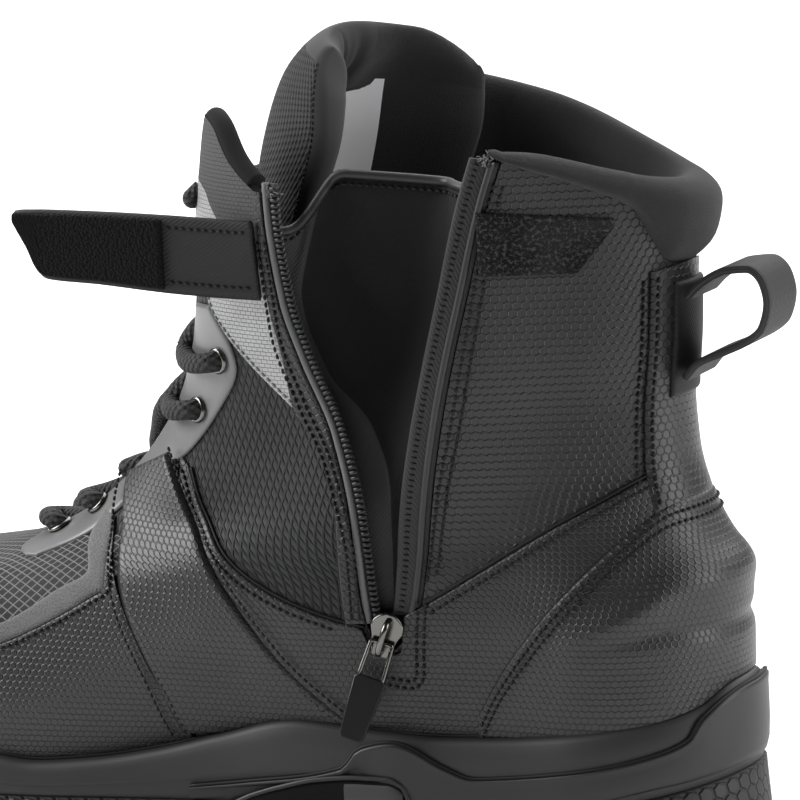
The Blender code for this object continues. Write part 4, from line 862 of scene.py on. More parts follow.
def wall_grids(per_level, strip_columns, rest_columns):
    """Around and level of the wall's two sheets: the front strip from the zip's front edge to the throat or
    the toe's middle, and the rest from there round the outer side and the back to the zip's rear edge."""
    slit = float(on_side(SLIDER_STATION, SLIT_FOOT)[1])
    levels = np.concatenate([
        np.linspace(0, slit, per_level), np.linspace(slit, THROAT_FOOT, per_level)[1:],
        np.linspace(THROAT_FOOT, 1, 2 * per_level)[1:]])
    split = 0.62
    grids = []
    for strip, count in ((True, strip_columns), (False, rest_columns)):
        share = np.linspace(0, 1, count)[None, :]
        rows = levels[:, None] * np.ones_like(share)
        above = np.clip((rows - split) / (1 - split), 0, 1)
        for _ in range(2):
            open_zip = rows > slit + 1e-6
            open_throat = rows > THROAT_FOOT + 1e-6
            if strip:
                low, high = split, by(STRIP_TOP, share * np.ones_like(rows))
                start = np.where(open_zip, zip_around(rows, 1, 1.0), around_at(SLIDER_STATION, rows))
                stop = np.where(open_throat, throat_around(rows, 1), 1.0)
            else:
                start = np.where(open_throat, throat_around(rows, -1), -1.0)
                stop = np.where(open_zip, zip_around(rows, 2, -1.0), around_at(SLIDER_STATION, rows))
                low, high = split, collar_seam(start + share * (stop - start))
            rows = np.minimum(levels[:, None], split) + above * (high - low)
        grids.append((start + share * (stop - start), rows))
    return grids


def wall():
    """Outer faces, and a lining 2.2 mm inside them whose border comes out to the outer face."""
    strip, rest = wall_grids(26, 70, 220)
    make("upper_front", sheet(skin(*strip), chart(*strip)), MESH, ("upper",))
    make("upper_rear", sheet(skin(*rest), chart(*rest)), HEX, ())
    linings = []
    for turn, rows in wall_grids(14, 36, 110):
        inside = np.pad(np.full((turn.shape[0], turn.shape[1]), -WALL), ((0, 1), (1, 1)))
        turn, rows = (np.pad(g, ((0, 1), (1, 1)), mode="edge") for g in (turn, rows))
        linings.append(sheet(skin(turn, rows, inside), chart(turn, rows)))
    make("upper_lining", together(*linings), LINING, ())
    return rest[0][-1], rest[1][-1]


# Panels laid on the wall

def between(low, high, side):
    """A place between two lines given by station and height: low(u) to high(u), straight across by v."""

    def where(u, v):
        a, b = low(u), high(u)
        return on_side(a[0] + v * (b[0] - a[0]), a[1] + v * (b[1] - a[1]), side)

    return where


def to_front(low, high, side):
    """As between, but from TOE_TURN on the place turns evenly to the middle of the toe, at the height it
    has there."""
    place = between(low, high, side)

    def where(u, v):
        turn, level = place(np.minimum(u, TOE_TURN), v)
        late = np.clip((u - TOE_TURN) / (1 - TOE_TURN), 0, 1)
        turn = turn + late * (side - turn)
        height = low(u)[1] + v * (high(u)[1] - low(u)[1])

        def wrong(guess):
            return surface(turn, guess)[..., 2] - height

        return turn, np.where(late > 0, bisect(wrong, np.zeros(u.shape), np.ones(u.shape)), level)

    return where


def rim_line(station):
    """The top of the sole's rim at a station."""
    return by(SOLE, station) - 1.0


def edge_of(table, column):
    """Two columns of a table, a station and a height, as a line by the share of the way through the
    table."""

    def line(u):
        row = run(table[:, column:column + 2], u)
        return row[..., 0], row[..., 1]

    return line


def lower_panels():
    """Panel low on each side: from the sole's rim to its upper edge, straight across between even steps."""
    first, low_last, high_last = LOWER_SPAN
    for name, side, table in (
            ("lower_panel_inner", 1, LOWER_TOP), ("lower_panel_outer", -1, LOWER_TOP_OUTER)):

        def low(u):
            station = first + u * (low_last - first)
            return station, rim_line(station)

        def high(u):
            station = first + u * (high_last - first)
            return station, by(table, station)

        panel = pillow(between(low, high, side), (170.0, 45.0), (110, 26), 0.9, 0.1, (0, 1, 0, 1))
        make(name, panel, FINE_HEX, ())


def saddle_over(around, level):
    """How much higher the saddle lies near the eyestay that it covers."""
    return 1.2 * np.clip((surface(around, level)[..., 2] - 45) / 50, 0, 1)


def saddles():
    """Strap on each side from the eyestay to the sole, straight across from its front edge to its rear
    edge."""
    for name, side in (("saddle_inner", 1), ("saddle_outer", -1)):
        where = between(edge_of(SADDLE, 0), edge_of(SADDLE, 2), side)
        panel = pillow(where, (90.0, 32.0), (60, 24), 1.5, 0.3, (1, 0, 1, 1), 1.8, saddle_over)
        make(name, panel, FINE_HEX, (name,))


def toe_panels():
    """Panel round the toe from the sole's rim to the band, and the band above it, each in two halves."""
    first, last = TOE_SPAN

    def low(u):
        station = first + u * (last - first)
        return station, rim_line(station)

    middle, high = edge_of(BAND, 2), edge_of(BAND, 0)
    parts, bands = [], []
    for side in (1, -1):
        below, above = to_front(low, middle, side), to_front(middle, high, side)
        parts.append(pillow(below, (170.0, 35.0), (90, 22), 0.9, 0.15, (0, 0, 0, 1)))
        bands.append(pillow(above, (150.0, 6.5), (90, 10), 0.9, 0.5, (0, 0, 1, 1), 1.8))
    make("toe_panel", together(*parts), FINE_HEX, ("toe_guard",))
    make("toe_band", together(*bands), SUEDE, ())


def vamp():
    """The toe's top from side to side over the front, its cloth laid out by length and by girth from the
    ridge."""
    turn = np.linspace(0.60, 1.40, 90)[None, :]
    level = np.linspace(0.14, THROAT_FOOT, 50)[:, None]
    points = skin(turn, level, 0.45)
    ridge = points[:, turn.size // 2]
    below = np.interp(points[..., 0], ridge[:, 0], ridge[:, 2]) - points[..., 2]
    girth = points[..., 1] + 0.9 * np.tanh(points[..., 1] / 8) * below
    aslant = np.array([[0.8, 0.6], [-0.6, 0.8]])
    flat = np.stack([points[..., 0], girth], -1) @ aslant
    make("vamp", sheet(points, flat), RIPSTOP, ())


def outer_mesh():
    """Mesh panel on the outer side, as the front strip has on the inner side."""

    def where(u, v):
        level = 0.24 + v * 0.56
        front = throat_around(np.maximum(level, 0.5), -1)
        back = around_at(104.0 + 14.0 * v, level, -1)
        return back + u * (front - back), level

    make("mesh_outer", pillow(where, (60.0, 90.0), (50, 60), 0.3, 0.0), MESH, ())


def facing():
    """Strip beside the front tape, from the tape to the facing's own edge."""

    def where(u, v):
        level = 0.235 + v * (0.93 - 0.235)
        near = zip_around(level, 1, 0.95)
        height = surface(near, level)[..., 2]
        return near + u * (around_at(by(FACING, height), level) - near), level

    panel = pillow(where, (9.0, 120.0), (10, 70), 0.8, 0.2, (1, 1, 0, 0))
    make("zip_facing_front", panel, HEX, ())


def woven_panels():
    """Cloth on the top of the front strip, one weave in two tones: painted light on it over its slanting
    lower edge, and painted shade on it above."""

    def over(start_share, stop_share):
        def where(u, v):
            top = by(STRIP_TOP, u)
            level = np.full(u.shape, 0.8)
            for _ in range(12):
                height = surface(zip_around(level, 1, 1.0), level)[..., 2]
                start = around_at(by(FACING, height), level) - 0.01
                turn = start + u * (throat_around(level, 1) - start)
                low = level_of_line(turn, WOVEN_LOW)
                level = low + (start_share + v * (stop_share - start_share)) * (top - low)
            return turn, level

        return where

    lower = pillow(over(0.0, 0.62), (30.0, 40.0), (30, 30), 0.5, 0.1, (0, 1, 1, 0))
    make("woven_panel", lower, LIT_WEAVE, ())
    upper = pillow(over(0.6, 1.0), (30.0, 25.0), (30, 20), 0.5, 0.15, (0, 1, 0, 0))
    make("strip_cloth", upper, SHADED_WEAVE, ())


def eyestays():
    """Film welded on beside the throat, from its throat edge to its rear edge, with four pressed rings in
    it."""
    angle = np.linspace(0, 2 * np.pi, 29)
    for word, side in (("inner", 1), ("outer", -1)):

        def where(u, v):
            level = EYESTAY[0, 0] + v * (EYESTAY[-1, 0] - EYESTAY[0, 0])
            edge = np.where(level > 0.48, side * throat_around(level, side) - 0.004, 1)
            near = np.minimum(by(EYESTAY, level, 1), edge)
            return side * (near + u * (by(EYESTAY, level, 2) - near)), level

        film = pillow(where, (13.0, 110.0), (14, 70), 0.7, 0.5)
        make("eyestay_" + word, film, FILM, ("eyestay_" + word,))
        rings = []
        for level, turn in EYELETS:
            centre = skin(side * turn, level, 1.7)
            up = normal_at(side * turn, level)
            across = unit(np.cross(up, [0.0, 0.0, 1.0]))
            ring = np.cos(angle)[:, None] * across + np.sin(angle)[:, None] * np.cross(up, across)
            points = centre + EYELET_RING[:, None, :1] * ring[None] + EYELET_RING[:, None, 1:] * up
            rings.append(sheet(points))
        nodes = [f"eyelet_{word}_{k}" for k in range(1, 5)]
        make("eyelets_" + word, together(*rings), METAL, nodes)


def counter_form(around, level):
    """A soft ridge round the heel with a shallow band below it, both fading towards the arch."""
    point = surface(around, level)
    station = HEEL_REST - point[..., 0]
    fade = np.clip((46 - station) / 26, 0, 1)
    ridge = 2.6 * np.exp(-(((point[..., 2] - by(COUNTER_FORM, station, 1)) / 5.6) ** 2))
    band = 1.3 * np.exp(-(((point[..., 2] - by(COUNTER_FORM, station, 2)) / 2.4) ** 2))
    return fade * (ridge - band)


def counter():
    """Moulded heel cover from the sole to its slanting upper edge."""
    reach = float(around_at(COUNTER_TOP[-1, 0] - 1.0, 0.06))

    def where(u, v):
        turn = reach - 2 * reach * u
        low = level_of_line(turn, SOLE, 1, 0.2)
        high = np.maximum(level_of_line(turn, COUNTER_TOP), low + 0.004)
        return turn, low + v * (high - low)

    panel = pillow(where, (170.0, 45.0), (140, 40), 1.5, 0.6, (0, 0, 0, 1), 1.8, counter_form)
    make("heel_counter", panel, FINE_HEX, ("heel_counter",))


def backstay():
    """Strip over the rear seam, its two ends bowed up in the middle."""

    def where(u, v):
        return 0.125 - 0.25 * u, 0.40 + v * (0.812 - 0.40) + 0.012 * np.sin(np.pi * u)

    panel = pillow(where, (42.0, 65.0), (36, 50), 1.3, 0.4, (1, 1, 1, 0), 1.6)
    make("backstay", panel, HEX, ("backstay",))


def loop_patch():
    """Loop pile beside the zip with a slanted end."""

    def where(u, v):
        station = 62.0 - 32.0 * u
        top = 175.8 - 3.2 * u
        bottom = 158.8 - 0.5 * u + 12.5 * np.clip(u - 0.72, 0, 1) / 0.28
        return on_side(station, bottom + v * (top - bottom))

    panel = pillow(where, (33.0, 16.0), (40, 24), 1.3, 0.5, width=1.2)
    make("loop_patch", panel, LOOPS, ("loop_patch",))


# Padding

def closed_curve(ring, count):
    """A closed row of points rounded to more points: a cubic through each four neighbours in turn."""
    t = np.arange(count) / count * ring.shape[-2]
    i = t.astype(int)
    f = (t - i)[:, None]
    a, b, c, d = (ring[..., (i + k) % ring.shape[-2], :] for k in (-1, 0, 1, 2))
    square = 2 * a - 5 * b + 4 * c - d
    cube = 3 * (b - c) + d - a
    curve = b + 0.5 * f * (c - a + f * (square + f * cube))
    return np.concatenate([curve, curve[..., :1, :]], axis=-2)


def collar(turn, seam):
    """Padded roll on the wall's top edge, its profile rounded and its two ends closed in a dome."""
    at = np.linspace(0, 1, 150)
    turn = np.interp(at, np.linspace(0, 1, len(turn)), turn)
    seam = np.interp(at, np.linspace(0, 1, len(seam)), seam) - 0.003
    deep = np.clip((0.97 - seam) / 0.15, 0, 1)[:, None]
    up, slim, full, above, fall = (column[None, :] for column in COLLAR_ROLL.T)
    level = seam[:, None] + up * (1 - seam[:, None]) - fall
    taper = 1 - 0.5 * np.clip((turn[:, None] - 0.18) / 0.27, 0, 1)
    ring = skin(turn[:, None] * np.ones_like(up), level, slim + deep * (full - slim))
    ring[..., 2] += above * taper - 1.5 * (1 - taper) - by(COLLAR_DROP, turn)[:, None] * up
    root = skin(turn, seam, -WALL / 2)[:, None]
    late = np.clip((turn - 0.30) / (turn.max() - 0.30), 0, 1)
    ring = root + (ring - root) * (1 - 0.42 * late**2)[:, None, None]
    ring = closed_curve(ring, 40)
    middle = ring.mean(axis=1, keepdims=True)
    ends = []
    for k, step in ((0, -1), (-1, 1)):
        along = unit(middle[k] - middle[k - step])
        ends.append([middle[k] + (ring[k] - middle[k]) * size + along * reach for size, reach in COLLAR_DOME])
    ring = np.concatenate([np.array(ends[0])[::-1], ring, np.array(ends[1])])
    made = make("collar", sheet(ring), COLLAR_KNIT, ("collar",))


def strip_roll():
    """Padded roll along the top of the front strip and down its throat edge."""
    share = np.linspace(0.12, 1, 40)
    top = by(STRIP_TOP, share)
    start, stop = zip_around(top, 1, 1.0), throat_around(top, 1)
    over = skin(start + share * (stop - start), top, -2.4)
    down = np.linspace(by(STRIP_TOP, 1.0), 0.78, 30)[1:]
    side = skin(throat_around(down, 1), down, -2.0)
    path = np.concatenate([over, side])
    for _ in range(12):
        path[1:-1] = (path[:-2] + 2 * path[1:-1] + path[2:]) / 4
    radius = np.concatenate([np.full(40, 2.9), np.linspace(2.8, 1.4, 29)])
    roll = tube(path, radius, 20, flat_up=np.array([0.0, -1.0, 0.0]))
    made = make("strip_roll", roll, DARK_KNIT, ("strip_padding",))


def tongue_face(share, across):
    """Outer face of the tongue and its normal: a run of rows, each bowed back and down to its edges, and
    its top corners drawn in and lowered."""

    def face(share, across):
        row = run(TONGUE, np.clip(share, 0, 1))
        late = np.clip((share - 0.84) / 0.16, 0, 1)
        corner = 8.0 * late * np.clip((across - 0.72) / 0.28, 0, 1) ** 2
        across = across * (1 - np.where(across > 0, 0.07, 0.25) * late**2.7)
        half = np.where(across < 0, row[..., 2], row[..., 4])
        back = np.where(across < 0, row[..., 3], row[..., 5])
        swing = toe_swing(row[..., 0])
        x = HEEL_REST - row[..., 0] + back * np.abs(across) ** 2.2
        dome = 2.6 * np.exp(-(((across - 0.3) / 0.5) ** 2)) * np.clip(share, 0, 1) ** 8
        return np.stack([x, half * across - swing, row[..., 1] - row[..., 6] * across**2 + dome - corner], -1)

    d = 1e-3
    rise = face(share + d, across) - face(share - d, across)
    normal = unit(np.cross(rise, face(share, across + d) - face(share, across - d)))
    return face(share, across), normal


def tongue():
    """Padded sheet: outer face, rolled edge, inner face, rolled edge, its top closed in a round. The inner
    side of the near edge swells into a roll towards the top, with two soft creases."""
    flat = np.linspace(-0.9, 0.9, 40)
    turn = np.linspace(90, -90, 9)[1:-1] * np.pi / 180
    across = np.concatenate([
        flat[8::-1], -0.9 - 0.1 * np.cos(turn), flat, 0.9 + 0.1 * np.cos(turn), flat[:7:-1]])
    depth = np.concatenate([-np.ones(9), -np.sin(turn), np.ones(40), np.sin(turn), -np.ones(32)])
    last_rows = 0.94 + 0.06 * np.sin(np.linspace(0, np.pi / 2, 11))[1:]
    share = np.concatenate([np.linspace(0, 0.94, 90), last_rows])
    s, a = np.meshgrid(share, across, indexing="ij")
    closing = np.sqrt(np.clip(1 - ((s - 0.94).clip(0) / 0.06) ** 2, 0, 1))
    half = TONGUE_THICK / 2 * np.clip(0.45 + s * 1.2, 0, 1) * closing
    face, normal = tongue_face(s, a)
    face = face - normal * TONGUE_THICK / 2
    near = np.clip((-0.35 - a) / 0.45, 0, 1)
    rise = np.clip((s - 0.84 + 0.34 * near) / (0.05 + 0.31 * near), 0, 1)
    side = np.clip((0.7 - a) / 0.28, 0, 1)
    swell = TONGUE_SWELL * (3 - 2 * rise) * rise**2 * (3 - 2 * side) * side**2
    for middle, wide in TONGUE_CREASES:
        swell = swell - 1.3 * rise * np.exp(-(((a - middle) / wide) ** 2))
    inward = np.clip(-depth, 0, 1) * closing
    points = face + normal * (half * depth - swell * inward)[..., None]
    column = np.arange(len(across) - 1)
    height = share[:-1, None]
    # Material 0, the paler knit, is painted light on the near roll and along the top; 1 is the ribbed face, 2
    # the knit inside.
    cloth = np.where(column < 15, 0, np.where(column < 52, 1, 2))
    cloth = np.where((column > 71) & (height > 0.85) | (column < 56) & (height > 0.95), 0, cloth)
    run_on = flat_of(points)[..., 0]
    part = sheet(points, np.stack([run_on, s * TONGUE_LONG], -1))
    made = make("tongue", part, (LIT_ROLL_KNIT, RIBBED, KNIT), ("tongue",), which=cloth.ravel())
    seam = points[30:92, 15]
    up = np.broadcast_to((0.4, -0.9, 0.0), seam.shape)
    make("tongue_stitches", stitched([(seam, up)], 1.6, 0.25), THREAD, ())

    for name, low, high, left, right, lift in TONGUE_LABELS:
        s, a = np.meshgrid(np.linspace(low, high, 24), np.linspace(left, right, 10), indexing="ij")
        face, normal = tongue_face(s, a - LABEL_LEAN * (s - low) + 0.02 * np.sin(9 * s))
        part = sheet(face - normal * (TONGUE_THICK + lift + 0.25 * np.sin(14 * s))[..., None])
        make(name, part, LABEL, (name,) if name == "size_label" else ())


# Gusset and zip

def gusset():
    """Soft cloth slung between the two tapes, deeper where the zip gapes, with one long fold and a bound
    top edge."""
    foot = float(on_side(SLIDER_STATION, SLIT_FOOT + 8)[1])
    level = np.linspace(foot, 0.943, 70)[:, None]
    step = np.linspace(0, 2, 61)[None, :]
    fold_at = by(GUSSET_FOLD, level)
    share = np.minimum(step, 1) * fold_at + np.clip(step - 1, 0, 1) * (1 - fold_at)
    rear = zip_around(level, 2, -1.0) - 0.012
    front = zip_around(level, 1, 1.0) + 0.012
    turn = rear + share * (front - rear)
    dip = np.clip((share - 0.62) / 0.26, 0, 1)
    rows = level - 0.066 * (3 - 2 * dip) * dip**2 * np.clip((level - 0.6) / 0.34, 0, 1)
    slack = (front - rear - 0.05).clip(0) * (level - 0.1).clip(0, 0.6)
    sag = np.clip(2.8 + 120 * slack * np.sin(np.pi * share) ** 1.5, 2.8, 17)
    sag = sag - 1.6 * np.exp(-(((share - fold_at - 0.02) / 0.05) ** 2)) * np.clip((sag - 4) / 6, 0, 1)
    sag = sag + 0.5 * np.sin(9 * share + 14 * level) * np.clip((sag - 4) / 6, 0, 1)
    face = skin(turn, rows, -sag)
    cloth = slab(skin(turn, rows, -sag - 0.55), normal_at(turn, rows), 0.55)
    column = np.arange(len(cloth[1])) % (len(cloth[1]) // (len(face) + 1))
    # The rear part up to the fold, and the inner face, take the darker cloth as painted shade.
    shaded = (column < 30) | (column > 59)
    made = make("zip_gusset", cloth, (CLOTH, SHADE_CLOTH), ("zip_gusset",), which=shaded)
    binding = make("gusset_binding", tube(face[-1], 1.3, 12), PLAIN, ())
    hem = row_on_skin(turn[-1], rows[-1] - 0.012, 0.5 - sag[-1])
    seam = make("gusset_stitches", stitched([hem]), THREAD, ())


def zip_tapes():
    """Each tape is a thin sheet from its free edge to its sewn edge; teeth stand in a row on the free
    edge."""
    level = np.linspace(float(on_side(SLIDER_STATION, 66.0)[1]), TAPE_REACH, 90)[:, None]
    share = np.linspace(0, 1, 9)[None, :]
    for name, column, sign, top in TAPES:
        rows = level * top / TAPE_REACH
        free, sewn = zip_around(rows, column, -0.12 * sign), zip_around(rows, column, 0.93 * sign)
        turn = free + share * (sewn - free)
        rows = np.broadcast_to(rows, turn.shape)
        tape = slab(skin(turn, rows, -0.9), normal_at(turn, rows), 0.45)
        make("zip_tape_" + name, tape, TAPE, ("zip_tape_" + name,))
        if name == "front":
            edge = row_on_skin(turn[:, 1], rows[:, 1], -0.4)
            make("zip_teeth", copies(box_shape(1.0, 2.3, 1.2), *spaced(*edge, 1.5)), TEETH, ())
        else:
            row = row_on_skin(turn[:, 2], rows[:, 2], -0.4)
            make("zip_coil_back", copies(rod(1.7, 0.28), *crossed(*row, 1.6)), THREAD, ())
        seam = skin(turn[:, -3], rows[:, -3], -0.1)
        # The front piping is paler: partly its own grey, partly a painted highlight on the rolled edge.
        make("zip_piping_" + name, tube(seam, 1.0, 10), HIGHLIT_PIPING if name == "front" else PLAIN, ())


def slider_frame():
    """The middle of the slider's underside, and the side, up and out directions there."""
    turn, level = on_side(SLIDER_STATION, SLIDER_HEIGHT)
    here = surface(turn, level)
    out = normal_at(turn, level)
    rise = surface(turn, level + 0.01) - here
    up = unit(rise - out * (rise @ out))
    return here + SLIDER_SEAT * out, np.cross(up, out), up, out


def plate(outline, low, high, bevel):
    """A flat outline with thickness: rings drawn in towards its middle at both faces for a rounded rim."""
    outline = np.asarray(outline, float)
    middle = (outline.max(0) + outline.min(0)) / 2
    reach = (outline.max(0) - outline.min(0)) / 2
    rim = ((1e3, 0.0), (1.3 * bevel, 0.0), (bevel, 0.0), (0.3 * bevel, 0.3 * bevel), (0.0, bevel))
    section = [(inset, low + rise) for inset, rise in rim]
    section += [(inset, high - rise) for inset, rise in rim[::-1]]
    rings = []
    for inset, height in section:
        shrink = np.clip(1 - inset / reach, 0, 1)
        flat = middle + (outline - middle) * shrink
        rings.append(np.column_stack([flat, np.full(len(flat), height)]))
    rings = np.array(rings)
    return np.concatenate([rings, rings[:, :1]], axis=1)


def placed(points, middle, side, up, out):
    """Local side, up and out lengths as points of the boot."""
    return middle + points @ np.array([side, up, out])


def slider():
    """Cast body, a thin plate, and the bridge bent over it."""
    base, *axes = slider_frame()
    outline = SLIDER_HALF + [(-x, y) for x, y in SLIDER_HALF[::-1]]
    body = sheet(placed(plate(outline, 0.0, 1.6, 0.4), base, *axes))
    path = placed(run(BRIDGE, np.linspace(0, 1, 30)), base, *axes)
    bridge = tube(path, 0.95, 10, flat_up=axes[0])
    make("zip_slider", together(body, bridge), METAL, ("zip_slider",))


def pull():
    """Flap in a wire frame that hangs from the bridge and leans out from the boot."""
    base, side, up, out = slider_frame()
    pivot = base - 1.8 * up + 2.9 * out
    lean = math.radians(PULL_LEAN)
    hang = up * math.cos(lean) - out * math.sin(lean)
    face = out * math.cos(lean) + up * math.sin(lean)
    flap = sheet(placed(plate(PULL_FLAP, -0.75, 0.75, 0.35), pivot, side, hang, face))
    corner = np.arange(len(PULL_FRAME))
    loop = np.zeros((65, 3))
    for k in (0, 1):
        loop[:, k] = np.interp(np.linspace(0, corner[-1], len(loop)), corner, PULL_FRAME[:, k])
    wire = tube(placed(loop, pivot, side, hang, face), 0.62, 10, flat_up=face, caps=False)
    which = np.repeat([0, 1], [len(flap[1]), len(wire[1])])
    make("zip_pull", together(flap, wire), (DARK_METAL, METAL), ("zip_pull",), "pull", which)


# Strap and loop

def strap_grid(share, rise, out):
    """Point of the strap: along it by share, from its lower to its upper edge by rise, moved out."""
    row = run(STRAP, share)
    x = HEEL_REST - row[..., 0]
    y = row[..., 1] + row[..., 4] * (1 - rise) - out
    return np.stack([x, y, row[..., 2] + rise * (row[..., 3] - row[..., 2])], -1)


def strap_wave(share, rise):
    """A slow wave in the strap, half a millimetre out and in."""
    return 0.5 * np.sin(7 * share + 2 * rise)


def strap_layer(span, reach, counts, out, half):
    """A layer of the strap over a span of its length and a reach of its width, with half its thickness."""
    s, r = np.meshgrid(np.linspace(*span, counts[0]), np.linspace(*reach, counts[1]), indexing="ij")
    centre = strap_grid(s, r, out + strap_wave(s, r))
    return slab(centre, np.broadcast_to(STRAP_FACE, centre.shape), half)


def strap():
    """Cloth strap, the hook pile on its outer face, and two rows of stitches at its root."""
    cloth = strap_layer((0, 1), (0, 1), (60, 16), 1.0, 1.0)
    make("closure_strap", cloth, STRAP_CLOTH, ("closure_strap",))
    pile = strap_layer((0.345, 0.985), (0.04, 0.96), (50, 16), 2.5, 0.6)
    make("hook_pile", pile, PILE, ("hook_pile",))
    rows = []
    along = np.linspace(0.04, 0.335, 24)
    for rise in (0.12, 0.88):
        path = strap_grid(along, np.full(24, rise), 2.1 + strap_wave(along, rise))
        rows.append((path, np.broadcast_to(STRAP_FACE, path.shape)))
    make("strap_stitches", stitched(rows), THREAD, ())


def pull_loop():
    """Webbing 22 mm wide bent into a loop behind the collar."""
    path = run(PULL_LOOP, np.linspace(0, 1, 90))
    curve = np.column_stack([HEEL_REST - path[:, 0], np.zeros(90), path[:, 1]])
    along = unit(np.gradient(curve, axis=0))
    up = np.cross(along, [0.0, 1.0, 0.0])
    width = np.linspace(-11, 11, 14)
    centre = curve[:, None] + width[None, :, None] * np.array([0.0, 1.0, 0.0])
    band = slab(centre, np.broadcast_to(up[:, None], centre.shape), 1.0)
    make("pull_loop", band, WEBBING, ("pull_loop",))

    def where(u, v):
        level = level_of_line(np.zeros(u.shape), np.array([(0.0, 124.0), (60.0, 124.0)]))
        return 0.075 - 0.15 * u, level + v * 0.19

    # The smooth patch behind the loop is the strap's blacker cloth, its darkness partly painted shade of the
    # hollow there.
    make("loop_root", pillow(where, (24.0, 30.0), (20, 24), 1.0, 1.9), STRAP_CLOTH, ())


# Lace

def lace():
    """Round cord. From each eyelet it comes out, turns over the throat's edge and up, and crosses to the
    outer side; between these run slanting crossings whose ends go in under the edges."""
    parts = []
    for level, turn in EYELETS:
        halves = []
        for side in (1, -1):
            edge_turn = throat_around(np.array(level), side)
            over = level + LACE_RISE
            halves.append(np.array([
                skin(side * turn, level, 0.5), skin(side * turn, level, 3.6),
                skin(0.5 * side * turn + 0.5 * edge_turn, level - 0.004, 4.2),
                skin(edge_turn, level + 0.010, 1.8),
                skin(throat_around(np.array(over), side), over, -1.5)]))
        middle = (halves[0][-1] + halves[1][-1]) / 2 - (1.0, 0, 0)
        parts.append(np.concatenate([halves[0], [middle], halves[1][::-1]]))
    for near, far in LACE_CROSSINGS:
        ends = [skin(throat_around(np.array(level), side), level, lift) for level, side, lift in (
            (near, 1, -1.0), (near - 0.012, 1, 1.6), (far + 0.012, -1, 1.6), (far, -1, -1.0))]
        parts.append(np.array([ends[0], ends[1], (ends[1] + ends[2]) / 2 - (1.5, 0, 0), ends[2], ends[3]]))
    cords = []
    for knots in parts:
        at = np.concatenate([[0], np.cumsum(np.linalg.norm(np.diff(knots, axis=0), axis=1) + 0.01)])
        path = smooth(at, knots, np.linspace(0, at[-1], 80))
        for _ in range(4):
            path[1:-1] = (path[:-2] + 2 * path[1:-1] + path[2:]) / 4
        cords.append(tube(path, LACE_RADIUS, 14))
    make("lace", together(*cords), BRAID, [f"lace_bar_{k}" for k in range(1, 9)])


# Sole

def side_ring(turn, height, out):
    """A ring round the boot at a height: the last's outline low down, moved straight out."""
    low = np.full(turn.shape, SOLE_LEVEL)
    ahead = surface(turn + 1e-3, low) - surface(turn - 1e-3, low)
    aside = unit(np.stack([-ahead[..., 1], ahead[..., 0], np.zeros(turn.shape)], -1))
    point = surface(turn, low) + aside * np.broadcast_to(out, turn.shape)[..., None]
    point[..., 2] = height
    return point


def rings_from(turn, edge, section):
    """Rings of a section whose heights are counted from an edge."""
    return [side_ring(turn, edge + rise, out) for rise, out in section]


def rings_between(turn, low, high, section):
    """Rings of a section whose heights are shares of the way from low to high."""
    return [side_ring(turn, low + share * (high - low), out) for share, out in section]


def sole_station(turn):
    """Stations of the outline that the sole follows."""
    return HEEL_REST - surface(turn, np.full(turn.shape, SOLE_LEVEL))[..., 0]


def midsole():
    """Foam side from its lip on the wall over the rounded rim and down to the joint, and the seam along its
    lip."""
    turn = np.linspace(-1, 1, SOLE_POINTS)
    rim, joint = (by(SOLE, sole_station(turn), k) for k in (1, 2))
    rings = [skin(turn, level_of_line(turn, SOLE, 1), 0.4)]
    rings += rings_from(turn, rim, MIDSOLE_RIM)
    rings += rings_between(turn, joint, rim + MIDSOLE_RIM[-1][0], MIDSOLE_SIDE)
    rings += rings_from(turn, joint, MIDSOLE_FOOT)
    make("midsole", sheet(np.array(rings)), FOAM, ("midsole",))
    seam = skin(turn, level_of_line(turn, SOLE, 1, 0.5), 1.1)
    make("sole_seam", tube(seam, 0.6, 8), THREAD, ())


def outsole():
    """Rubber that widens from the joint down to the tread, its bottom closed along the middle line."""
    turn = np.linspace(-1, 1, SOLE_POINTS)
    joint, tread = (by(SOLE, sole_station(turn), k) for k in (2, 3))
    rings = rings_from(turn, joint, OUTSOLE_RIM)
    rings += rings_between(turn, tread, joint, OUTSOLE_SIDE)
    rings += rings_from(turn, tread, OUTSOLE_FOOT)
    bottom = rings[-1].copy()
    bottom[:, 1] = -toe_swing(HEEL_REST - bottom[:, 0])
    make("outsole", sheet(np.array(rings + [bottom])), RUBBER, ("outsole",))


def sole_clip():
    """Plastic band round the heel that rises to a point at the arch and is recessed there, with a black cord
    along its upper edge as painted shade of the groove there."""
    reach = float(around_at(CLIP[-1, 0], SOLE_LEVEL))
    turn = np.linspace(-reach, reach, 221)
    station = sole_station(turn)
    low, high = by(CLIP, station, 1), by(CLIP, station, 2)
    recess = 2.2 * np.exp(-(((station - 122) / 24) ** 4))
    rings = []
    for share, out in CLIP_SIDE:
        rings.append(side_ring(turn, low + share * (high - low), out - recess * (share < 0.8)))
    make("sole_clip", sheet(np.array(rings)), SHELL, ("sole_clip",))
    make("clip_painted_shadow_line", tube(side_ring(turn, high + 0.35, 5.0), 0.5, 8), THREAD, ())


def arch():
    """Dark inset under the arch with a raised rim, and a bare badge on it."""
    station = np.linspace(ARCH[0, 0], ARCH[-1, 0], 60)
    turn = around_at(station, SOLE_LEVEL)
    high = by(ARCH, station)
    inset = sheet(np.array(rings_between(turn, ARCH_FOOT, high, ARCH_SIDE)))
    make("arch_inset", inset, LINING, ())
    make("arch_rim", tube(side_ring(turn, high + 0.3, 5.9), 0.7, 10), SHELL, ())
    station = np.linspace(*BADGE_SPAN, 24)
    turn = around_at(station, SOLE_LEVEL)
    badge = sheet(np.array(rings_between(turn, BADGE_FOOT, by(ARCH, station) - 1.4, BADGE_SIDE)))
    make("arch_badge", badge, BADGE, ())


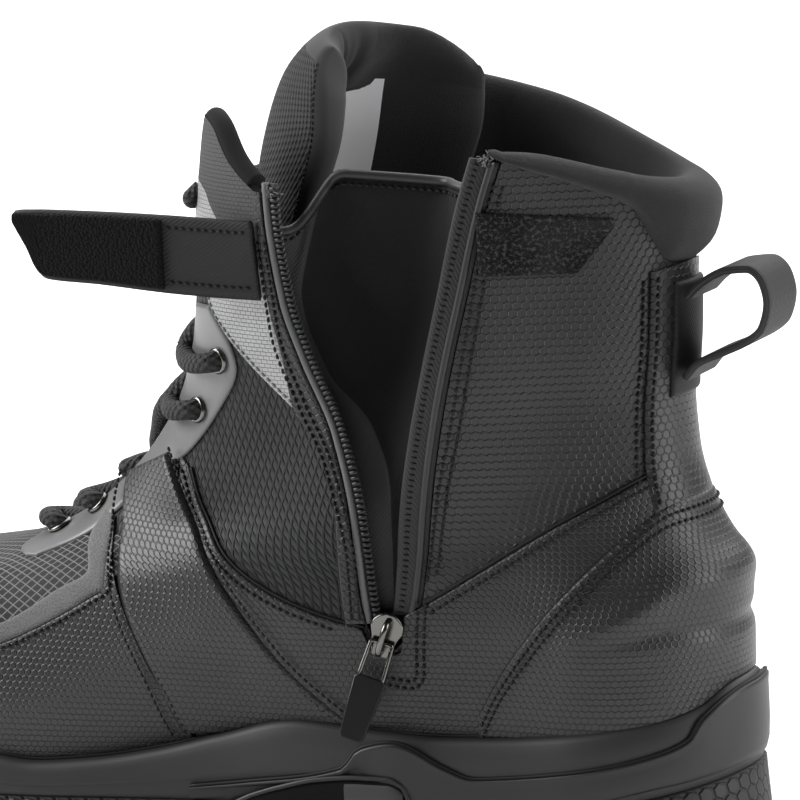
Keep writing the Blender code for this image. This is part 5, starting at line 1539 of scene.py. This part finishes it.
def insole():
    """Flat footbed from just inside the wall to the middle line."""
    turn = np.linspace(-1, 1, 161)
    edge = skin(turn, np.full(turn.shape, 0.02), -WALL - 2)
    edge[:, 2] = surface(turn, np.zeros(turn.shape))[:, 2] + 4.0
    middle = edge.copy()
    middle[:, 1] = -toe_swing(HEEL_REST - edge[:, 0])
    share = np.linspace(0, 1, 8)[:, None, None]
    make("insole", sheet(edge + share * (middle - edge)), LINING, ("insole",))


# Stitches

def seam_rows(stations, side=1, lift=0.5, over=None, asides=(-1.1, 1.1)):
    """Rows of stitches along a line of stations and heights, at distances aside of it, over a raised
    form."""
    path = run(np.asarray(stations, float), np.linspace(0, 1, SEAM_POINTS))
    along = unit(np.gradient(path, axis=0))
    rows = []
    for aside in asides:
        moved = path + side * aside * np.stack([along[:, 1], -along[:, 0]], -1)
        turn, level = on_side(moved[:, 0], moved[:, 1], side)
        rows.append(row_on_skin(turn, level, lift if over is None else lift + over(turn, level)))
    return rows


def counter_line(drop):
    """Around and level of a line round the heel, a drop below the counter's upper edge."""
    reach = float(around_at(COUNTER_TOP[-1, 0] - 1.5, 0.06))
    turn = np.linspace(reach, -reach, 160)
    return turn, level_of_line(turn, COUNTER_TOP, 1, -drop)


def edging():
    """The dark cut edge of each overlay, together with painted shade of the gap along it, as a thin cord
    beside it.
    """
    lines_at = []
    for side in (1, -1):
        lines_at.append(((LOWER_TOP[:6] if side > 0 else LOWER_TOP_OUTER[:-1]) + (0.2, 0.5), side, 0.4))
        lines_at.append((SADDLE[:, :2], side, 0.5))
        lines_at.append((SADDLE[:, 2:], side, 0.5))
    lines_at.append((LOWER_TOP[9:-1] + (-0.2, 0.5), 1, 0.4))
    lines_at.append((FACING[:9, ::-1], 1, 0.2))
    parts = []
    for table, side, lift in lines_at:
        path = run(np.asarray(table, float), np.linspace(0, 1, 80))
        parts.append(tube(skin(*on_side(path[:, 0], path[:, 1], side), lift), 0.45, 6))
    parts.append(tube(skin(*counter_line(-0.5), 0.6), 0.45, 6))
    make("cut_edges_and_shadow_gaps", together(*parts), THREAD, ())


def frays():
    """Loose thread ends where the two tapes were cut at the top."""
    scatter = np.random.default_rng(3)
    parts = []
    for level, column, inset in FRAY_ENDS:
        turn = zip_around(np.array(level), column, inset)
        centre = skin(turn, level, 0.0) + scatter.normal(0, (1.0, 0.5, 0.8), (FRAY_COUNT, 3))
        along = unit(scatter.normal(0, 1, (FRAY_COUNT, 3)) + (0, -0.3, 0.8))
        parts.append(copies(rod(1.1, 0.13), centre, along, unit(np.cross(along, (0.3, 0.9, 0.1)))))
    make("zip_frays", together(*parts), FRAY, ())


def stitches():
    """Rows of stitches beside the zip, along panels and saddles, down the backstay and round the counter."""
    rows = seam_rows(REAR_STITCH, 1, 0.35)
    rows += seam_rows(FRONT_STITCH, 1, 1.25)
    rows += seam_rows(FOOT_STITCH, 1, 1.25, None, (0.0, 2.0))
    rows += seam_rows(LOWER_TOP[:6], 1, 1.25, None, (2.4,))
    rows += seam_rows(LOWER_TOP[10:], 1, 1.25, None, (2.4,))
    rows += seam_rows(LOWER_TOP_OUTER[:-1], -1, 1.25, None, (-2.4,))
    rows += seam_rows(BAND[1:-1, 2:], 1, 1.3, None, (1.5,))
    for side in (1, -1):
        near = side * 2.2
        rows += seam_rows(SADDLE[:, :2], side, 2.1, saddle_over, (-near,))
        rows += seam_rows(SADDLE[1:, :2], side, 1.4, None, (near * 0.8,))
        rows += seam_rows(SADDLE[:, 2:], side, 2.1, saddle_over, (near,))
        rows += seam_rows(SADDLE[1:, 2:], side, 1.35, None, (-near * 0.8,))
        level = np.linspace(0.415, 0.80, SEAM_POINTS)
        for turn, lift in ((0.137, 0.35), (0.113, 2.0)):
            rows.append(row_on_skin(np.full(SEAM_POINTS, side * turn), level, lift))
    for drop in (3.2, 6.2):
        turn, level = counter_line(drop)
        rows.append(row_on_skin(turn, level, 2.3 + counter_form(turn, level)))
    make("stitches", stitched(rows), THREAD, ())
    pale = seam_rows(WOVEN_LOW[1:5], 1, 0.6, None, (-1.3,))
    make("pale_stitches", stitched(pale), FRAY, ())


# The whole boot

rest_turn, rest_seam = wall()
lower_panels()
saddles()
toe_panels()
vamp()
outer_mesh()
facing()
woven_panels()
eyestays()
counter()
backstay()
loop_patch()
collar(rest_turn, rest_seam)
strip_roll()
tongue()
gusset()
zip_tapes()
slider()
pull()
strap()
pull_loop()
lace()
midsole()
outsole()
sole_clip()
arch()
insole()
edging()
frays()
stitches()


# Camera, light and floor

AZIMUTH, ELEVATION, ROLL = (math.radians(a) for a in (24, 10, 2))
CAMERA_DISTANCE = 1100.0
CAMERA_TARGET = np.array([-60.42, 0.0, 117.94])
FOCAL_PIXELS, IMAGE_PIXELS, SENSOR = 4015, 800, 36.0
# Lights, in metres and watts: name, place, width and height, power, the point that it faces.
LAMPS = (
    ("floor_light", (0.0, 2.6, 1.7), (4.0, 4.6), 190, (0.0, 2.6, 0.0)),
    ("key", (-1.3, -0.5, 0.9), (1.0, 1.0), 33, (-0.06, 0.0, 0.1)),
    ("rim", (1.2, 0.1, 0.5), (0.4, 1.0), 10, (-0.06, 0.0, 0.1)))
WORLD_LIGHT = 0.06
FLOOR_HALF = 4000.0


def camera():
    """A long lens far off: its back axis from azimuth and elevation, its right and up axes rolled about
    that."""
    right = np.array([math.cos(AZIMUTH), math.sin(AZIMUTH), 0.0])
    flat = math.cos(ELEVATION)
    back = np.array([math.sin(AZIMUTH) * flat, -math.cos(AZIMUTH) * flat, math.sin(ELEVATION)])
    up = np.cross(back, right)
    rolled_right = right * math.cos(ROLL) - up * math.sin(ROLL)
    rolled_up = up * math.cos(ROLL) + right * math.sin(ROLL)
    place = np.eye(4)
    place[:3, :3] = np.stack([rolled_right, rolled_up, back], 1)
    place[:3, 3] = (CAMERA_TARGET + CAMERA_DISTANCE * back) * MM
    data = bpy.data.cameras.new("camera")
    data.sensor_width = SENSOR
    data.lens = SENSOR * FOCAL_PIXELS / IMAGE_PIXELS
    made = bpy.data.objects.new("camera", data)
    bpy.context.collection.objects.link(made)
    made.matrix_world = mathutils.Matrix(place.tolist())
    bpy.context.scene.camera = made


def lamp(name, place, size, power, at):
    """A soft light, size wide and high, that faces a point."""
    data = bpy.data.lights.new(name, "AREA")
    data.shape = "RECTANGLE"
    data.size, data.size_y = size
    data.energy = power
    made = bpy.data.objects.new(name, data)
    bpy.context.collection.objects.link(made)
    place = mathutils.Vector(place)
    made.location = place
    made.rotation_euler = (mathutils.Vector(at) - place).to_track_quat("-Z", "Y").to_euler()


def surroundings():
    """A faint white world, the lights, and a pale floor."""
    scene = bpy.context.scene
    scene.view_settings.view_transform = "Standard"
    world = bpy.data.worlds.new("studio")
    world.use_nodes = True
    world.node_tree.nodes["Background"].inputs["Color"].default_value = linear("#ffffff")
    world.node_tree.nodes["Background"].inputs["Strength"].default_value = WORLD_LIGHT
    scene.world = world
    for row in LAMPS:
        lamp(*row)
    square = np.array([[(-1, -1, 0), (1, -1, 0)], [(-1, 1, 0), (1, 1, 0)]])
    corners, faces, _ = sheet(square * FLOOR_HALF)
    mesh = bpy.data.meshes.new("floor")
    mesh.from_pydata(corners * MM, [], faces.tolist())
    pale = bpy.data.materials.new("painted_board")
    pale.use_nodes = True
    pale.node_tree.nodes["Principled BSDF"].inputs["Base Color"].default_value = linear("#f6f6f6")
    pale.node_tree.nodes["Principled BSDF"].inputs["Roughness"].default_value = 0.9
    mesh.materials.append(pale)
    floor = bpy.data.objects.new("floor", mesh)
    bpy.context.collection.objects.link(floor)


camera()
surroundings()
